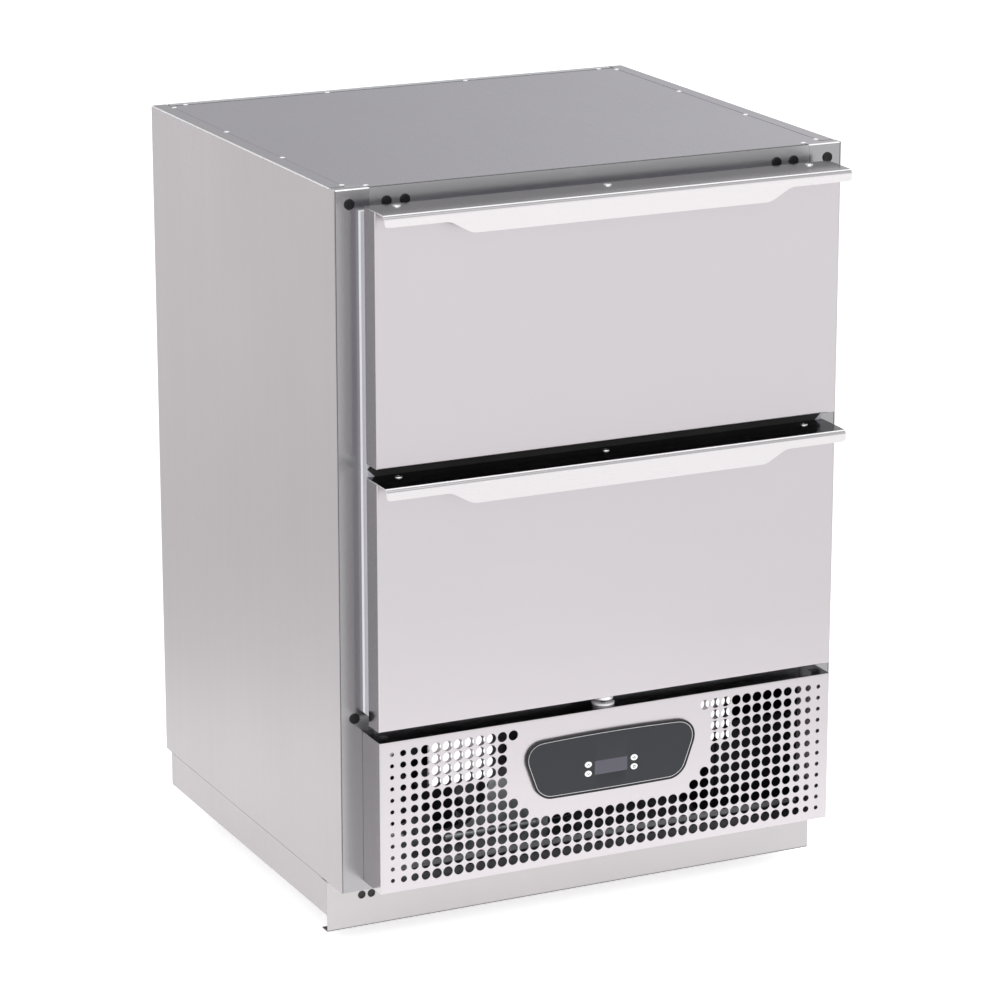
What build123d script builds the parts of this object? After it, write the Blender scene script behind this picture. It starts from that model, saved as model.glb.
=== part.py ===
"""Bar refrigerator: two insulated drawers over a ventilated machine compartment.

Lengths are in millimetres. While a piece is drawn, y = 0 is the front plane of the
cabinet, +y goes to the back, z = 0 is the floor and x = 0 is the middle. save() then
moves every piece so that the origin is the bottom centre of the whole object.
"""
from build123d import *
from math import cos, pi, sin, sqrt
import os

# Cabinet
WIDTH = 600.0
BODY_DEPTH = 520.0
HEIGHT = 850.0
FLOOR_GAP = 19.0
PLINTH_H = 59.0
SHEET = 1.0
INSULATION = 40.0
MACHINE_H = 175.0
TOUCH = 0.3          # clearance between pieces that meet but move apart
FIT = 0.1            # clearance between a fixed pin and its hole

# Outer skins and front frame
SIDE_FLANGE = 18.0
REAR_FLANGE = 11.0
SEAM = 1.5
CAP_DEPTH = 13.0
POST_RETURN = 25.0
MULLION_D = 35.0
PLUG_HOLE_R = 4.5
PLUG_HEAD_R = 5.8
PLUG_HEAD_T = 1.6
PLUG_DEPTH = 7.0
PLUG_INSET = 17.0
PLUG_DROP = 16.0
PLUG_LOW = 197.0
RAIL_PLUG_INSETS = (59.0, 80.0)
TACK_R = 3.0
TACK_T = 0.7
TACK_END = 23.0
TACK_REAR_X = 88.0

# Floor pan, plinth and feet
BASE_T = 1.5
BASE_LIP = 22.0
PLINTH_SETBACK = 40.0
PLINTH_T = 1.2
PLINTH_RETURN = 15.0
SKIRT_H = 40.0
SKIRT_REAR = 15.0
PLINTH_HOLE_R = 4.5
PLINTH_HOLE_INSETS = (41.0, 52.5)
PLINTH_HOLE_DROP = 22.0
FOOT_INSET_X = 60.0
FOOT_INSET_FRONT = 120.0
FOOT_INSET_REAR = 60.0
FOOT_R = 20.0
FOOT_T = 8.0
FOOT_NUT_R = 9.5
FOOT_NUT_T = 8.0
STEM_R = 5.0
BOSS_R = 9.0
BOSS_H = 10.0

# Drawer fronts, handles and seals
FRONT_MARGIN = 26.0
FRONT_DROP = 17.0
FRONT_T = 26.6
SEAL_GAP = 17.4
LOWER_FRONT_Z = 193.0
DRAWER_GAP = 16.0
HANDLE_T = 1.5
HANDLE_REACH = 24.8
HANDLE_NOSE_R = 5.0
LIP_H = 27.0
LIP_END_H = 13.0
LIP_STEP_INSET = 74.0
LIP_STEP_RUN = 25.0
LIP_CORNER_R = 4.0
SCREW_INSET = 31.0
SCREW_Y = 12.6
SCREW_HEAD_R = 4.5
SCREW_HEAD_T = 1.4
SCREW_R = 2.0
SCREW_L = 10.0
GASKET_W = 12.0
GASKET_BASE = 6.0
GASKET_INSET = 1.0
GASKET_LOW = 10.0
HAT_D = 8.0
HAT_SIDE = 22.0
HAT_LOW = 26.0
HAT_UNDER = 33.0

# Drawer boxes and telescopic slides
BOX_T = 1.2
BOX_RISE = 34.0
BOX_UNDER = 49.0
BOX_CLEAR = 50.4
BOX_RIM = 8.0
BOX_SLOT = (62.0, 9.0)
BOX_SLOT_ROWS = 6
BOX_SLOT_COLS = 5
SLIDE_T = 1.2
SLIDE_H = 45.0
SLIDE_W = 13.0
SLIDE_Y = 4.0
SLIDE_CLEAR = 51.0
SLIDE_RISE = 30.0
SLIDE_STOP = 5.0

# Grille and control panel
GRILLE_D = 46.0
GRILLE_T = 1.2
GRILLE_LOW = 10.5
GRILLE_FOOT = 44.0
HOLE_PITCH = 13.0
HOLE_ROWS = 12
HOLE_R = 5.65
EDGE_HOLE_R = (2.35, 3.55, 4.4, 5.1)
HOLE_MARGIN = 14.0
PLAIN_COLS = (17, 19, 19, 19, 19, 19, 17, 15, 0, 0, 0, 0)
FLANGE_HOLE_R = 5.0
FLANGE_HOLE_INSET = 12.0
SCREW_BACK = 28.0
PANEL_T = 3.0
PANEL_SKIN = 1.2
PANEL_Z = 122.0
PANEL_TOP_W = 223.0
PANEL_LOW_W = 175.0
PANEL_H = 66.0
PANEL_CROWN = 3.1
PANEL_SAG = 0.6
PANEL_TOP_R = 21.0
PANEL_LOW_R = 22.0
RIM_W = 2.0
RIM_T = 0.4
DISPLAY_W = 40.0
DISPLAY_H = 16.0
DISPLAY_T = 1.2
DISPLAY_Z = 116.0
BUTTON_W = 8.4
BUTTON_H = 6.8
BUTTON_X = 28.0
BUTTON_STEP = 10.4
BUTTON_PROUD = 0.9
BUTTON_TRAVEL = 0.6
BUTTON_FLANGE = 1.2
FLANGE_T = 0.6
POCKET_W = 72.0
POCKET_H = 26.0
CONTROLLER_W = 86.0
CONTROLLER_H = 38.0
CONTROLLER_D = 22.0

# Quarter-turn screw that holds the grille
KNOB_R = 11.0
KNOB_T = 2.2
KNOB_RISE = 8.4
SHANK_R = 2.5
KEEPER_R = 6.0
KEEPER_T = 2.5
WASHER_R = 12.5
WASHER_T = 2.4
WASHER_DISH = 1.8
WASHER_DISH_R = 26.0
TAB_W = 34.0
TAB_T = 2.0
TAB_REACH = 38.0
BAFFLES = ((-210.0, -60.0), (60.0, 158.0))
BAFFLE_OUT = 27.4
BAFFLE_DROP = 59.0

# Machine compartment
COND_W = 224.0
COND_H = 130.0
COND_D = 44.0
COND_SIDE = 149.0
COND_Y = 30.0
FIN_T = 0.8
FIN_PITCH = 8.0
TUBE_R = 4.0
TUBES = 6
FAN_R = COND_H / 2 - 3
FAN_GAP = 4.0
FAN_DEPTH = 14.0
FAN_HUB_R = 20.0
FAN_BLADES = 5
SHROUD_RING = 20.0
MOTOR_R = 40.0
MOTOR_L = 46.0
SHAFT_R = 3.0
SHAFT_FIT = 0.05
SHAFT_IN = 14.0
ARM_W = 12.0
ARM_T = 3.0
COMP_SIDE = 147.0
COMP_REAR = 190.0
COMP_A = 92.0
COMP_B = 74.0
COMP_H = 146.0
COMP_CROWN_R = 34.0
COMP_FOOT_T = 3.0
MOUNT_H = 14.0
MOUNT_R = 10.0
PAN_SIDE = 76.0
PAN_END = -52.0
PAN_REAR = 44.0
PAN_D = 214.0
PAN_H = 40.0
PAN_T = 1.2
EBOX_SIDE = 11.0
EBOX_W = 122.0
EBOX_Y = (30.0, 104.0)
EBOX_H = 112.0
GLAND_SIDE = 73.0
GLAND_Z = 60.0
GLAND_R = 11.0
GLAND_OUT = 12.0
GLAND_IN = 9.0
CORD_R = 4.2
GLAND_BODY_R = 8.0
PIPE_X = 60.0
PIPE_HOLE_R = 16.0
CAPILLARY_R = 1.5
SUCTION_R = 3.5
LINE_R = 2.5
DRAIN_X = -150.0
DRAIN_REAR = 80.0
DRAIN_R = 7.0

# Evaporator, behind its cover at the back of the chamber
EVAP_SPACE = 80.0
COVER_FLANGE = 14.0
EVAP_SIDE = 60.0
EVAP_H = 150.0
EVAP_D = 48.0
EVAP_RISE = 42.0
EFAN_R = 56.0
EFAN_DROP = 132.0
EMOTOR_R = 28.0
EMOTOR_L = 26.0
TRAY_H = 18.0

# Places worked out from the sizes above
HALF = WIDTH / 2
INNER = HALF - SHEET
BODY_Z = FLOOR_GAP + PLINTH_H
OPENING = HALF - INSULATION
MACHINE_TOP = BODY_Z + MACHINE_H
CHAMBER_FLOOR = MACHINE_TOP + INSULATION
CHAMBER_TOP = HEIGHT - INSULATION
CHAMBER_BACK = BODY_DEPTH - INSULATION
FRONT_HALF = HALF - FRONT_MARGIN
PAN_BACK = -SEAL_GAP
PAN_FACE = PAN_BACK - FRONT_T
LIP_Y = PAN_FACE - HANDLE_REACH
LOWER_Z = BODY_Z + LOWER_FRONT_Z
FRONT_H = (HEIGHT - FRONT_DROP - LOWER_Z - DRAWER_GAP) / 2
UPPER_Z = LOWER_Z + FRONT_H + DRAWER_GAP
LIP_STEP_X = FRONT_HALF - LIP_STEP_INSET
HAT_H = FRONT_H - HAT_LOW - HAT_UNDER
BOX_H = FRONT_H - BOX_RISE - BOX_UNDER
GASKET_HALF = FRONT_HALF - GASKET_INSET
GASKET_Z = LOWER_Z + GASKET_LOW
GASKET_TOP = CHAMBER_TOP + GASKET_W + 5
GASKET_H = (GASKET_TOP - GASKET_Z) / 2
MULLION_Z = GASKET_Z + GASKET_H
GRILLE_Z = BODY_Z + GRILLE_LOW
GRILLE_H = (HOLE_ROWS - 1) * HOLE_PITCH + 2 * HOLE_MARGIN
GRILLE_TOP = GRILLE_Z + GRILLE_H
HOLE_COLS = 2 * int((FRONT_HALF - HOLE_MARGIN) / HOLE_PITCH) + 1
COVER_Y = CHAMBER_BACK - EVAP_SPACE
BOX_FRONT = PAN_BACK + HAT_D
BOX_D = COVER_Y - BOX_CLEAR - BOX_FRONT
SLIDE_L = COVER_Y - SLIDE_CLEAR - SLIDE_Y
DRAWER_TRAVEL = SLIDE_L - SLIDE_STOP
BOX_HALF = OPENING - SLIDE_W
FLOOR_Z = BODY_Z + BASE_T
COND_Z = FLOOR_Z + 8
COND_X = COND_SIDE - INNER
FAN_X = COND_X
FAN_Z = COND_Z + COND_H / 2
PANEL_MID = BODY_Z + PANEL_Z
PANEL_FACE = -GRILLE_D - PANEL_T
EVAP_Z = CHAMBER_FLOOR + EVAP_RISE
EFAN_MID = CHAMBER_TOP - EFAN_DROP
EVAP_W = 2 * (OPENING - EVAP_SIDE)
EVAP_Y = CHAMBER_BACK - EVAP_D - 6
PIPE_Y = EVAP_Y + EVAP_D / 2
DRAIN_Y = BODY_DEPTH - DRAIN_REAR
COMP_X = INNER - COMP_SIDE
COMP_Y = BODY_DEPTH - COMP_REAR
PAN_X = (PAN_SIDE - HALF, PAN_END)
PAN_Y = (BODY_DEPTH - PAN_REAR - PAN_D, BODY_DEPTH - PAN_REAR)
EBOX_X = (INNER - EBOX_SIDE - EBOX_W, INNER - EBOX_SIDE)
GLAND_X = INNER - GLAND_SIDE
Y_SHIFT = (-LIP_Y - BODY_DEPTH - GLAND_OUT) / 2


def block(x0, x1, y0, y1, z0, z1):
    """A box between two corners."""
    return Pos((x0 + x1) / 2, (y0 + y1) / 2, (z0 + z1) / 2) * Box(x1 - x0, y1 - y0, z1 - z0)


def rod_x(x0, x1, y, z, radius):
    return Pos((x0 + x1) / 2, y, z) * Rot(0, 90, 0) * Cylinder(radius, x1 - x0)


def rod_y(x, y0, y1, z, radius):
    return Pos(x, (y0 + y1) / 2, z) * Rot(90, 0, 0) * Cylinder(radius, y1 - y0)


def rod_z(x, y, z0, z1, radius):
    return Pos(x, y, (z0 + z1) / 2) * Cylinder(radius, z1 - z0)


def tray(x0, x1, y0, y1, z0, z1, wall, open_side):
    """A sheet box with one side open: front, back or top."""
    reach = 10 * wall
    y_in = (y0 - reach if open_side == "front" else y0 + wall, y1 + reach if open_side == "back" else y1 - wall)
    z_in = (z0 + wall, z1 + reach if open_side == "top" else z1 - wall)
    hollow = block(x0 + wall, x1 - wall, *y_in, *z_in)
    return block(x0, x1, y0, y1, z0, z1) - hollow


def both_sides(shape):
    """The shape and its mirror image across x = 0, as two separate solids."""
    return Compound([shape, mirror(shape, about=Plane.YZ)])


def left_of(shape):
    return mirror(shape, about=Plane.YZ)


def save(name, shape):
    export_step(Pos(0, Y_SHIFT, 0) * shape, f"parts/{name}.step")


def side_panel():
    skin = block(INNER, HALF, 0, BODY_DEPTH, BODY_Z, HEIGHT)
    flange = block(HALF - SIDE_FLANGE, HALF, CAP_DEPTH + SEAM, BODY_DEPTH, HEIGHT - SHEET, HEIGHT)
    return skin + flange


def back_panel():
    y0 = BODY_DEPTH - SHEET
    plate = block(-INNER, INNER, y0, BODY_DEPTH, BODY_Z, HEIGHT - SHEET)
    half = HALF - SIDE_FLANGE - SEAM
    plate += block(-half, half, BODY_DEPTH - REAR_FLANGE, BODY_DEPTH, HEIGHT - SHEET, HEIGHT)
    slot_w, slot_h, pitch = 6, 30, 18
    first = -OPENING + 2 * pitch
    slots = [
        block(first + i * pitch, first + i * pitch + slot_w, y0 - 1, BODY_DEPTH + 1, z, z + slot_h)
        for i in range(20)
        for z in (BODY_Z + 50, BODY_Z + 50 + slot_h + 12)
    ]
    plate -= slots
    return plate - rod_y(GLAND_X, y0 - 1, BODY_DEPTH + 1, BODY_Z + GLAND_Z, GLAND_BODY_R)


def top_panel():
    """A flat panel whose joggled border lies under the flanges round it."""
    front = SHEET + SEAM
    border = block(-INNER, INNER, front, BODY_DEPTH - SHEET, HEIGHT - 2 * SHEET, HEIGHT - SHEET)
    half = HALF - SIDE_FLANGE - SEAM
    rear = BODY_DEPTH - REAR_FLANGE - SEAM
    raised = block(-half, half, front, rear, HEIGHT - SHEET, HEIGHT)
    cap = block(OPENING - SEAM, HALF, 0, CAP_DEPTH + SEAM, HEIGHT - SHEET, HEIGHT)
    raised -= [cap, left_of(cap)]
    inside = half - SHEET
    pocket = block(-inside, inside, CAP_DEPTH + SEAM + SHEET, rear - SHEET, HEIGHT - 2 * SHEET, HEIGHT - SHEET)
    return border + raised - pocket


def front_post():
    """Right-hand post: face, inner return and the cap that folds over on top."""
    face = block(OPENING, INNER, 0, SHEET, BODY_Z, HEIGHT)
    cap = block(OPENING, INNER, 0, CAP_DEPTH, HEIGHT - SHEET, HEIGHT)
    inner = block(OPENING, OPENING + SHEET, 0, POST_RETURN, BODY_Z + BASE_T, HEIGHT - 2 * SHEET)
    post = face + cap + inner
    for z in (HEIGHT - PLUG_DROP, BODY_Z + PLUG_LOW):
        post -= rod_y(HALF - PLUG_INSET, -2, POST_RETURN, z, PLUG_HOLE_R)
    return post


def rail_plug_places():
    return [side * (HALF - inset) for inset in RAIL_PLUG_INSETS for side in (-1, 1)]


def top_rail():
    face = block(-OPENING, OPENING, 0, SHEET, CHAMBER_TOP, HEIGHT)
    under = block(-OPENING, OPENING, 0, POST_RETURN, CHAMBER_TOP, CHAMBER_TOP + SHEET)
    over = block(-OPENING, OPENING, 0, POST_RETURN, HEIGHT - 3 * SHEET, HEIGHT - 2 * SHEET)
    holes = [rod_y(x, -1, 2 * SHEET, HEIGHT - PLUG_DROP, PLUG_HOLE_R) for x in rail_plug_places()]
    return face + under + over - holes


def middle_rail():
    z0, z1 = MULLION_Z - GASKET_W, MULLION_Z + GASKET_W
    tube = block(-OPENING, OPENING, 0, MULLION_D, z0, z1)
    return tube - block(-OPENING, OPENING, SHEET, MULLION_D - SHEET, z0 + SHEET, z1 - SHEET)


def lower_rail():
    """Rail under the chamber, with the ceiling of the compartment, two baffles that hang close behind
    the grille's upper corners, and the two prongs of the grille's clip."""
    rail = block(-OPENING, OPENING, 0, SHEET, MACHINE_TOP, CHAMBER_FLOOR)
    rail += block(-OPENING, OPENING, 0, POST_RETURN, CHAMBER_FLOOR - SHEET, CHAMBER_FLOOR)
    rail += block(-OPENING, OPENING, 0, POST_RETURN, MACHINE_TOP, MACHINE_TOP + SHEET)
    rail += block(-INNER, INNER, POST_RETURN, BODY_DEPTH - SHEET, MACHINE_TOP, MACHINE_TOP + SHEET)
    top = MACHINE_TOP + 2 * SHEET
    for x0, x1 in BAFFLES:
        rail += block(x0, x1, -BAFFLE_OUT, SHEET, top - SHEET, top)
        rail += block(x0, x1, -BAFFLE_OUT, SHEET - BAFFLE_OUT, MACHINE_TOP - BAFFLE_DROP, top)
    rail -= rod_z(PIPE_X, PIPE_Y, MACHINE_TOP - 1, MACHINE_TOP + 2, PIPE_HOLE_R)
    rail -= rod_z(DRAIN_X, DRAIN_Y, MACHINE_TOP - 1, MACHINE_TOP + 2, DRAIN_R + TOUCH)
    z1 = GRILLE_TOP - GRILLE_T - TOUCH
    prong = block(SHANK_R + 2 * TOUCH, TAB_W / 2, -TAB_REACH, 0, z1 - TAB_T, z1)
    return Compound([rail, prong, left_of(prong)])


def insulation_foam():
    foam = block(-INNER, INNER, SHEET, BODY_DEPTH - SHEET, MACHINE_TOP + SHEET, HEIGHT - 3 * SHEET)
    half = OPENING + SHEET
    foam -= block(-half, half, 0, CHAMBER_BACK + SHEET, CHAMBER_FLOOR - SHEET, CHAMBER_TOP + SHEET)
    for side in (-1, 1):
        for z in (HEIGHT - PLUG_DROP, BODY_Z + PLUG_LOW):
            foam -= rod_y(side * (HALF - PLUG_INSET), 0, PLUG_DEPTH + 2, z, PLUG_HOLE_R)
        edge = side * (OPENING + SHEET / 2)
        foam -= block(edge - SHEET / 2, edge + SHEET / 2, 0, POST_RETURN, MACHINE_TOP, HEIGHT)
    foam -= [rod_y(x, 0, PLUG_DEPTH + 2, HEIGHT - PLUG_DROP, PLUG_HOLE_R) for x in rail_plug_places()]
    return foam - passages(MACHINE_TOP, CHAMBER_FLOOR)


def passages(z0, z1):
    """The pipe and drain holes through the insulated floor."""
    return [rod_z(PIPE_X, PIPE_Y, z0, z1, PIPE_HOLE_R), rod_z(DRAIN_X, DRAIN_Y, z0, z1, DRAIN_R + TOUCH)]


def inner_liner():
    half = OPENING + SHEET
    back = CHAMBER_BACK + SHEET
    liner = tray(-half, half, POST_RETURN, back, CHAMBER_FLOOR - SHEET, CHAMBER_TOP + SHEET, SHEET, "front")
    return liner - passages(CHAMBER_FLOOR - 2 * SHEET, CHAMBER_FLOOR + SHEET)


def base_panel():
    """Floor pan with a front lip, two tabs that carry the grille and four welded nuts."""
    pan = block(-INNER, INNER, SHEET, BODY_DEPTH - SHEET, BODY_Z, BODY_Z + BASE_T)
    pan += block(-OPENING, OPENING, 0, BASE_T, BODY_Z, BODY_Z + BASE_LIP)
    tab_z = GRILLE_Z - TOUCH
    tab = block(OPENING - 70, OPENING - 40, GRILLE_T - GRILLE_D + 4, BASE_T, tab_z - BASE_T, tab_z)
    pan += [tab, left_of(tab)]
    for x, y in foot_places():
        pan += rod_z(x, y, BODY_Z, FLOOR_Z + BOSS_H, BOSS_R)
        pan -= rod_z(x, y, BODY_Z - 1, FLOOR_Z + BOSS_H + 1, STEM_R)
    return pan


def foot_places():
    xs = (FOOT_INSET_X - HALF, HALF - FOOT_INSET_X)
    ys = (FOOT_INSET_FRONT, BODY_DEPTH - FOOT_INSET_REAR)
    return [(x, y) for x in xs for y in ys]


def levelling_feet():
    feet = []
    for x, y in foot_places():
        foot = chamfer(rod_z(x, y, 0, FOOT_T, FOOT_R).edges().group_by(Axis.Z)[-1], 3)
        nut = Pos(x, y, FOOT_T) * extrude(RegularPolygon(FOOT_NUT_R, 6), FOOT_NUT_T)
        stem = rod_z(x, y, FOOT_T, FLOOR_Z + BOSS_H + 2, STEM_R - FIT)
        feet.append(foot + nut + stem)
    return Compound(feet)


def plinth_front():
    y0, y1 = PLINTH_SETBACK, PLINTH_SETBACK + PLINTH_T
    plate = block(-HALF, HALF, y0, y1, FLOOR_GAP, BODY_Z)
    plate += block(-HALF, HALF, y0, y0 + PLINTH_RETURN, FLOOR_GAP, FLOOR_GAP + PLINTH_T)
    plate += block(-HALF, HALF, y0, y0 + PLINTH_RETURN, BODY_Z - PLINTH_T, BODY_Z)
    for inset in PLINTH_HOLE_INSETS:
        for side in (-1, 1):
            plate -= rod_y(side * (HALF - inset), y0 - 1, y1 + 1, BODY_Z - PLINTH_HOLE_DROP, PLINTH_HOLE_R)
    return plate


def plinth_skirt():
    """Side and rear skirts, folded from one strip, with a flange under the floor pan."""
    y0, y1 = PLINTH_SETBACK + PLINTH_RETURN, BODY_DEPTH - SKIRT_REAR
    z0 = BODY_Z - SKIRT_H
    strip = block(-HALF, HALF, y0, y1, z0, BODY_Z)
    strip -= block(PLINTH_T - HALF, HALF - PLINTH_T, y0 - 1, y1 - PLINTH_T, z0 - 1, BODY_Z - PLINTH_T)
    strip -= block(PLINTH_RETURN - HALF, HALF - PLINTH_RETURN, y0 - 1, y1 - PLINTH_RETURN, z0, BODY_Z + 1)
    ear = block(HALF - PLINTH_T, HALF, PLINTH_SETBACK + PLINTH_T, y0, z0, BODY_Z - PLINTH_T)
    return strip + [ear, left_of(ear)]


def plug(x, z, face_y):
    head = rod_y(x, face_y - PLUG_HEAD_T, face_y, z, PLUG_HEAD_R)
    head = fillet(head.edges().group_by(Axis.Y)[0], PLUG_HEAD_T * 0.7)
    return head + rod_y(x, face_y, PLUG_DEPTH, z, PLUG_HOLE_R - FIT)


def hole_plugs():
    plugs = [plug(x, HEIGHT - PLUG_DROP, 0) for x in rail_plug_places()]
    for side in (-1, 1):
        for z in (HEIGHT - PLUG_DROP, BODY_Z + PLUG_LOW):
            plugs.append(plug(side * (HALF - PLUG_INSET), z, 0))
    return Compound(plugs)


def panel_tacks():
    """Flat weld tacks along the seams of the top."""
    seam_x = HALF - SIDE_FLANGE - SEAM / 2
    seam_y = BODY_DEPTH - REAR_FLANGE - SEAM / 2
    rows = [TACK_END + i * (BODY_DEPTH - 2 * TACK_END) / 3 for i in range(4)]
    places = [(side * seam_x, y) for y in rows for side in (-1, 1)]
    places += [(side * (OPENING - SEAM / 2), CAP_DEPTH - TACK_R / 2) for side in (-1, 1)]
    places += [(side * TACK_REAR_X, seam_y) for side in (-1, 1)]
    places += [(side * (OPENING + TACK_R), seam_y) for side in (-1, 1)]
    return Compound([rod_z(x, y, HEIGHT, HEIGHT + TACK_T, TACK_R) for x, y in places])


def ring(half, z0, z1, y0, y1, width):
    outer = block(-half, half, y0, y1, z0, z1)
    return outer - block(width - half, half - width, y0 - 1, y1 + 1, z0 + width, z1 - width)


def drawer_gaskets():
    """Two bellows seals, one round each drawer opening."""
    seals = []
    lip = SEAL_GAP - TOUCH
    for z0 in (GASKET_Z, GASKET_Z + GASKET_H):
        z1 = z0 + GASKET_H - FIT
        seal = ring(GASKET_HALF, z0, z1, -GASKET_BASE, 0, GASKET_W)
        seal += ring(GASKET_HALF - 0.8, z0 + 0.8, z1 - 0.8, 2 - lip, -GASKET_BASE, GASKET_W - 1.6)
        seal += ring(GASKET_HALF, z0, z1, -lip, 2 - lip, GASKET_W)
        seals.append(seal)
    return Compound(seals)


def drawer_front(z0):
    pan = tray(-FRONT_HALF, FRONT_HALF, PAN_FACE, PAN_BACK, z0, z0 + FRONT_H, SHEET, "back")
    return fillet(pan.faces().sort_by(Axis.Y)[0].edges(), SHEET * 0.9)


def drawer_back_pan(z0):
    """Inner pan of the front, with a raised middle that enters the opening."""
    y0 = PAN_BACK - SHEET
    edge = FRONT_HALF - SHEET
    plate = block(-edge, edge, y0, PAN_BACK, z0 + SHEET, z0 + FRONT_H - SHEET)
    half = OPENING - HAT_SIDE / 2 + 3
    hat = block(-half, half, y0, BOX_FRONT, z0 + HAT_LOW, z0 + HAT_LOW + HAT_H)
    hollow = block(SHEET - half, half - SHEET, y0 - 1, BOX_FRONT - SHEET, z0 + HAT_LOW + SHEET,
                   z0 + HAT_LOW + HAT_H - SHEET)
    return plate + hat - hollow


def drawer_foam(z0):
    edge = FRONT_HALF - SHEET
    core = block(-edge, edge, PAN_FACE + SHEET, PAN_BACK - SHEET, z0 + SHEET, z0 + FRONT_H - SHEET)
    half = OPENING - HAT_SIDE / 2 + 3 - SHEET
    low, high = z0 + HAT_LOW + SHEET, z0 + HAT_LOW + HAT_H - SHEET
    return core + block(-half, half, PAN_BACK - SHEET, BOX_FRONT - SHEET, low, high)


def round_front_top(shape, radius):
    edge = shape.edges().filter_by(Axis.X).sort_by(lambda e: e.center().Y - e.center().Z)[0]
    return fillet([edge], radius)


def drawer_handle(z0):
    """Full-width sheet handle: flat top, rounded nose and a lip that is deeper in the middle."""
    top = z0 + FRONT_H + HANDLE_T
    outer = round_front_top(block(-FRONT_HALF, FRONT_HALF, LIP_Y, PAN_BACK, top - LIP_H, top), HANDLE_NOSE_R)
    wide = FRONT_HALF + 1
    inner = block(-wide, wide, LIP_Y + HANDLE_T, PAN_BACK + 1, top - LIP_H - 1, top - HANDLE_T)
    handle = outer - round_front_top(inner, HANDLE_NOSE_R - HANDLE_T)
    low, end = top - LIP_H, top - LIP_END_H
    outline = Polyline(
        (LIP_STEP_X - LIP_STEP_RUN, low - 1), (LIP_STEP_X - LIP_STEP_RUN, low), (LIP_STEP_X, end),
        (wide, end), (wide, low - 1), close=True,
    )
    notch = extrude(Plane.XZ * make_face(outline), 2 * HANDLE_T, both=True)
    notch = Pos(0, LIP_Y, 0) * notch
    handle -= [notch, left_of(notch)]
    corners = handle.edges().filter_by(Axis.Y)
    corners = [e for e in corners if abs(abs(e.center().X) - FRONT_HALF) < 0.01 and abs(e.center().Z - end) < 0.01]
    handle = fillet(corners, LIP_CORNER_R)
    return handle - [rod_z(x, screw_y(), top - 5, top + 5, SCREW_R) for x in screw_xs()]


def screw_xs():
    return (SCREW_INSET - FRONT_HALF, 0, FRONT_HALF - SCREW_INSET)


def screw_y():
    return PAN_BACK - SCREW_Y


def drawer_front_holes(z0):
    return [rod_z(x, screw_y(), z0 + FRONT_H - SCREW_L, z0 + FRONT_H + 1, SCREW_R) for x in screw_xs()]


def handle_screws(z0):
    top = z0 + FRONT_H + HANDLE_T
    screws = []
    for x in screw_xs():
        head = rod_z(x, screw_y(), top, top + SCREW_HEAD_T, SCREW_HEAD_R)
        head = fillet(head.edges().group_by(Axis.Z)[-1], SCREW_HEAD_T * 0.8)
        socket = Pos(x, screw_y(), top + SCREW_HEAD_T / 2) * extrude(RegularPolygon(1.4, 6), SCREW_HEAD_T)
        shank = rod_z(x, screw_y(), top + FIT - SCREW_L, top, SCREW_R - FIT)
        screws.append(head - socket + shank)
    return Compound(screws)


def drawer_box(z0):
    low, high = z0 + BOX_RISE, z0 + BOX_RISE + BOX_H
    y1 = BOX_FRONT + BOX_D
    box = tray(-BOX_HALF, BOX_HALF, BOX_FRONT, y1, low, high, BOX_T, "top")
    rim = block(-BOX_HALF, BOX_HALF, BOX_FRONT, y1, high - BOX_T, high)
    inside = BOX_HALF - BOX_RIM
    box += rim - block(-inside, inside, BOX_FRONT + BOX_RIM, y1 - BOX_RIM, high - 2 * BOX_T, high + 1)
    length, width = BOX_SLOT
    x_step = 2 * BOX_HALF / BOX_SLOT_COLS
    y_step = BOX_D / BOX_SLOT_ROWS
    for col in range(BOX_SLOT_COLS):
        for row in range(BOX_SLOT_ROWS):
            x = -BOX_HALF + (col + 0.5) * x_step
            y = BOX_FRONT + (row + 0.5) * y_step
            box -= block(x - length / 2, x + length / 2, y - width / 2, y + width / 2, low - 1, low + 2 * BOX_T)
    return box


def channel(web_x, tip_x, z_mid, height):
    """Half of a slide member: a C section with its web at web_x and its flanges towards tip_x."""
    x0, x1 = sorted((web_x, tip_x))
    inner = (x0 + SLIDE_T, x1 + 1) if web_x < tip_x else (x0 - 1, x1 - SLIDE_T)
    z0, z1 = z_mid - height / 2, z_mid + height / 2
    bar = block(x0, x1, SLIDE_Y, SLIDE_Y + SLIDE_L, z0, z1)
    return bar - block(*inner, SLIDE_Y - 1, SLIDE_Y + SLIDE_L + 1, z0 + SLIDE_T, z1 - SLIDE_T)


def slide_mid(z0):
    return z0 + BOX_RISE + SLIDE_RISE + SLIDE_H / 2


def cabinet_slides():
    members = [channel(OPENING, BOX_HALF + 2 * SLIDE_T, slide_mid(z0), SLIDE_H) for z0 in (LOWER_Z, UPPER_Z)]
    return Compound(members + [left_of(member) for member in members])


def middle_slides(z0):
    height = SLIDE_H - 2 * SLIDE_T - 2 * TOUCH
    web = OPENING - SLIDE_T - TOUCH
    return both_sides(channel(web, BOX_HALF + 2 * SLIDE_T, slide_mid(z0), height))


def drawer_slides(z0):
    height = SLIDE_H - 4 * SLIDE_T - 4 * TOUCH
    tip = OPENING - 2 * SLIDE_T - 2 * TOUCH
    return both_sides(channel(BOX_HALF, tip, slide_mid(z0), height))


def hole_radius(col):
    edge = min(col, HOLE_COLS - 1 - col)
    return EDGE_HOLE_R[edge] if edge < len(EDGE_HOLE_R) else HOLE_R


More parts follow.
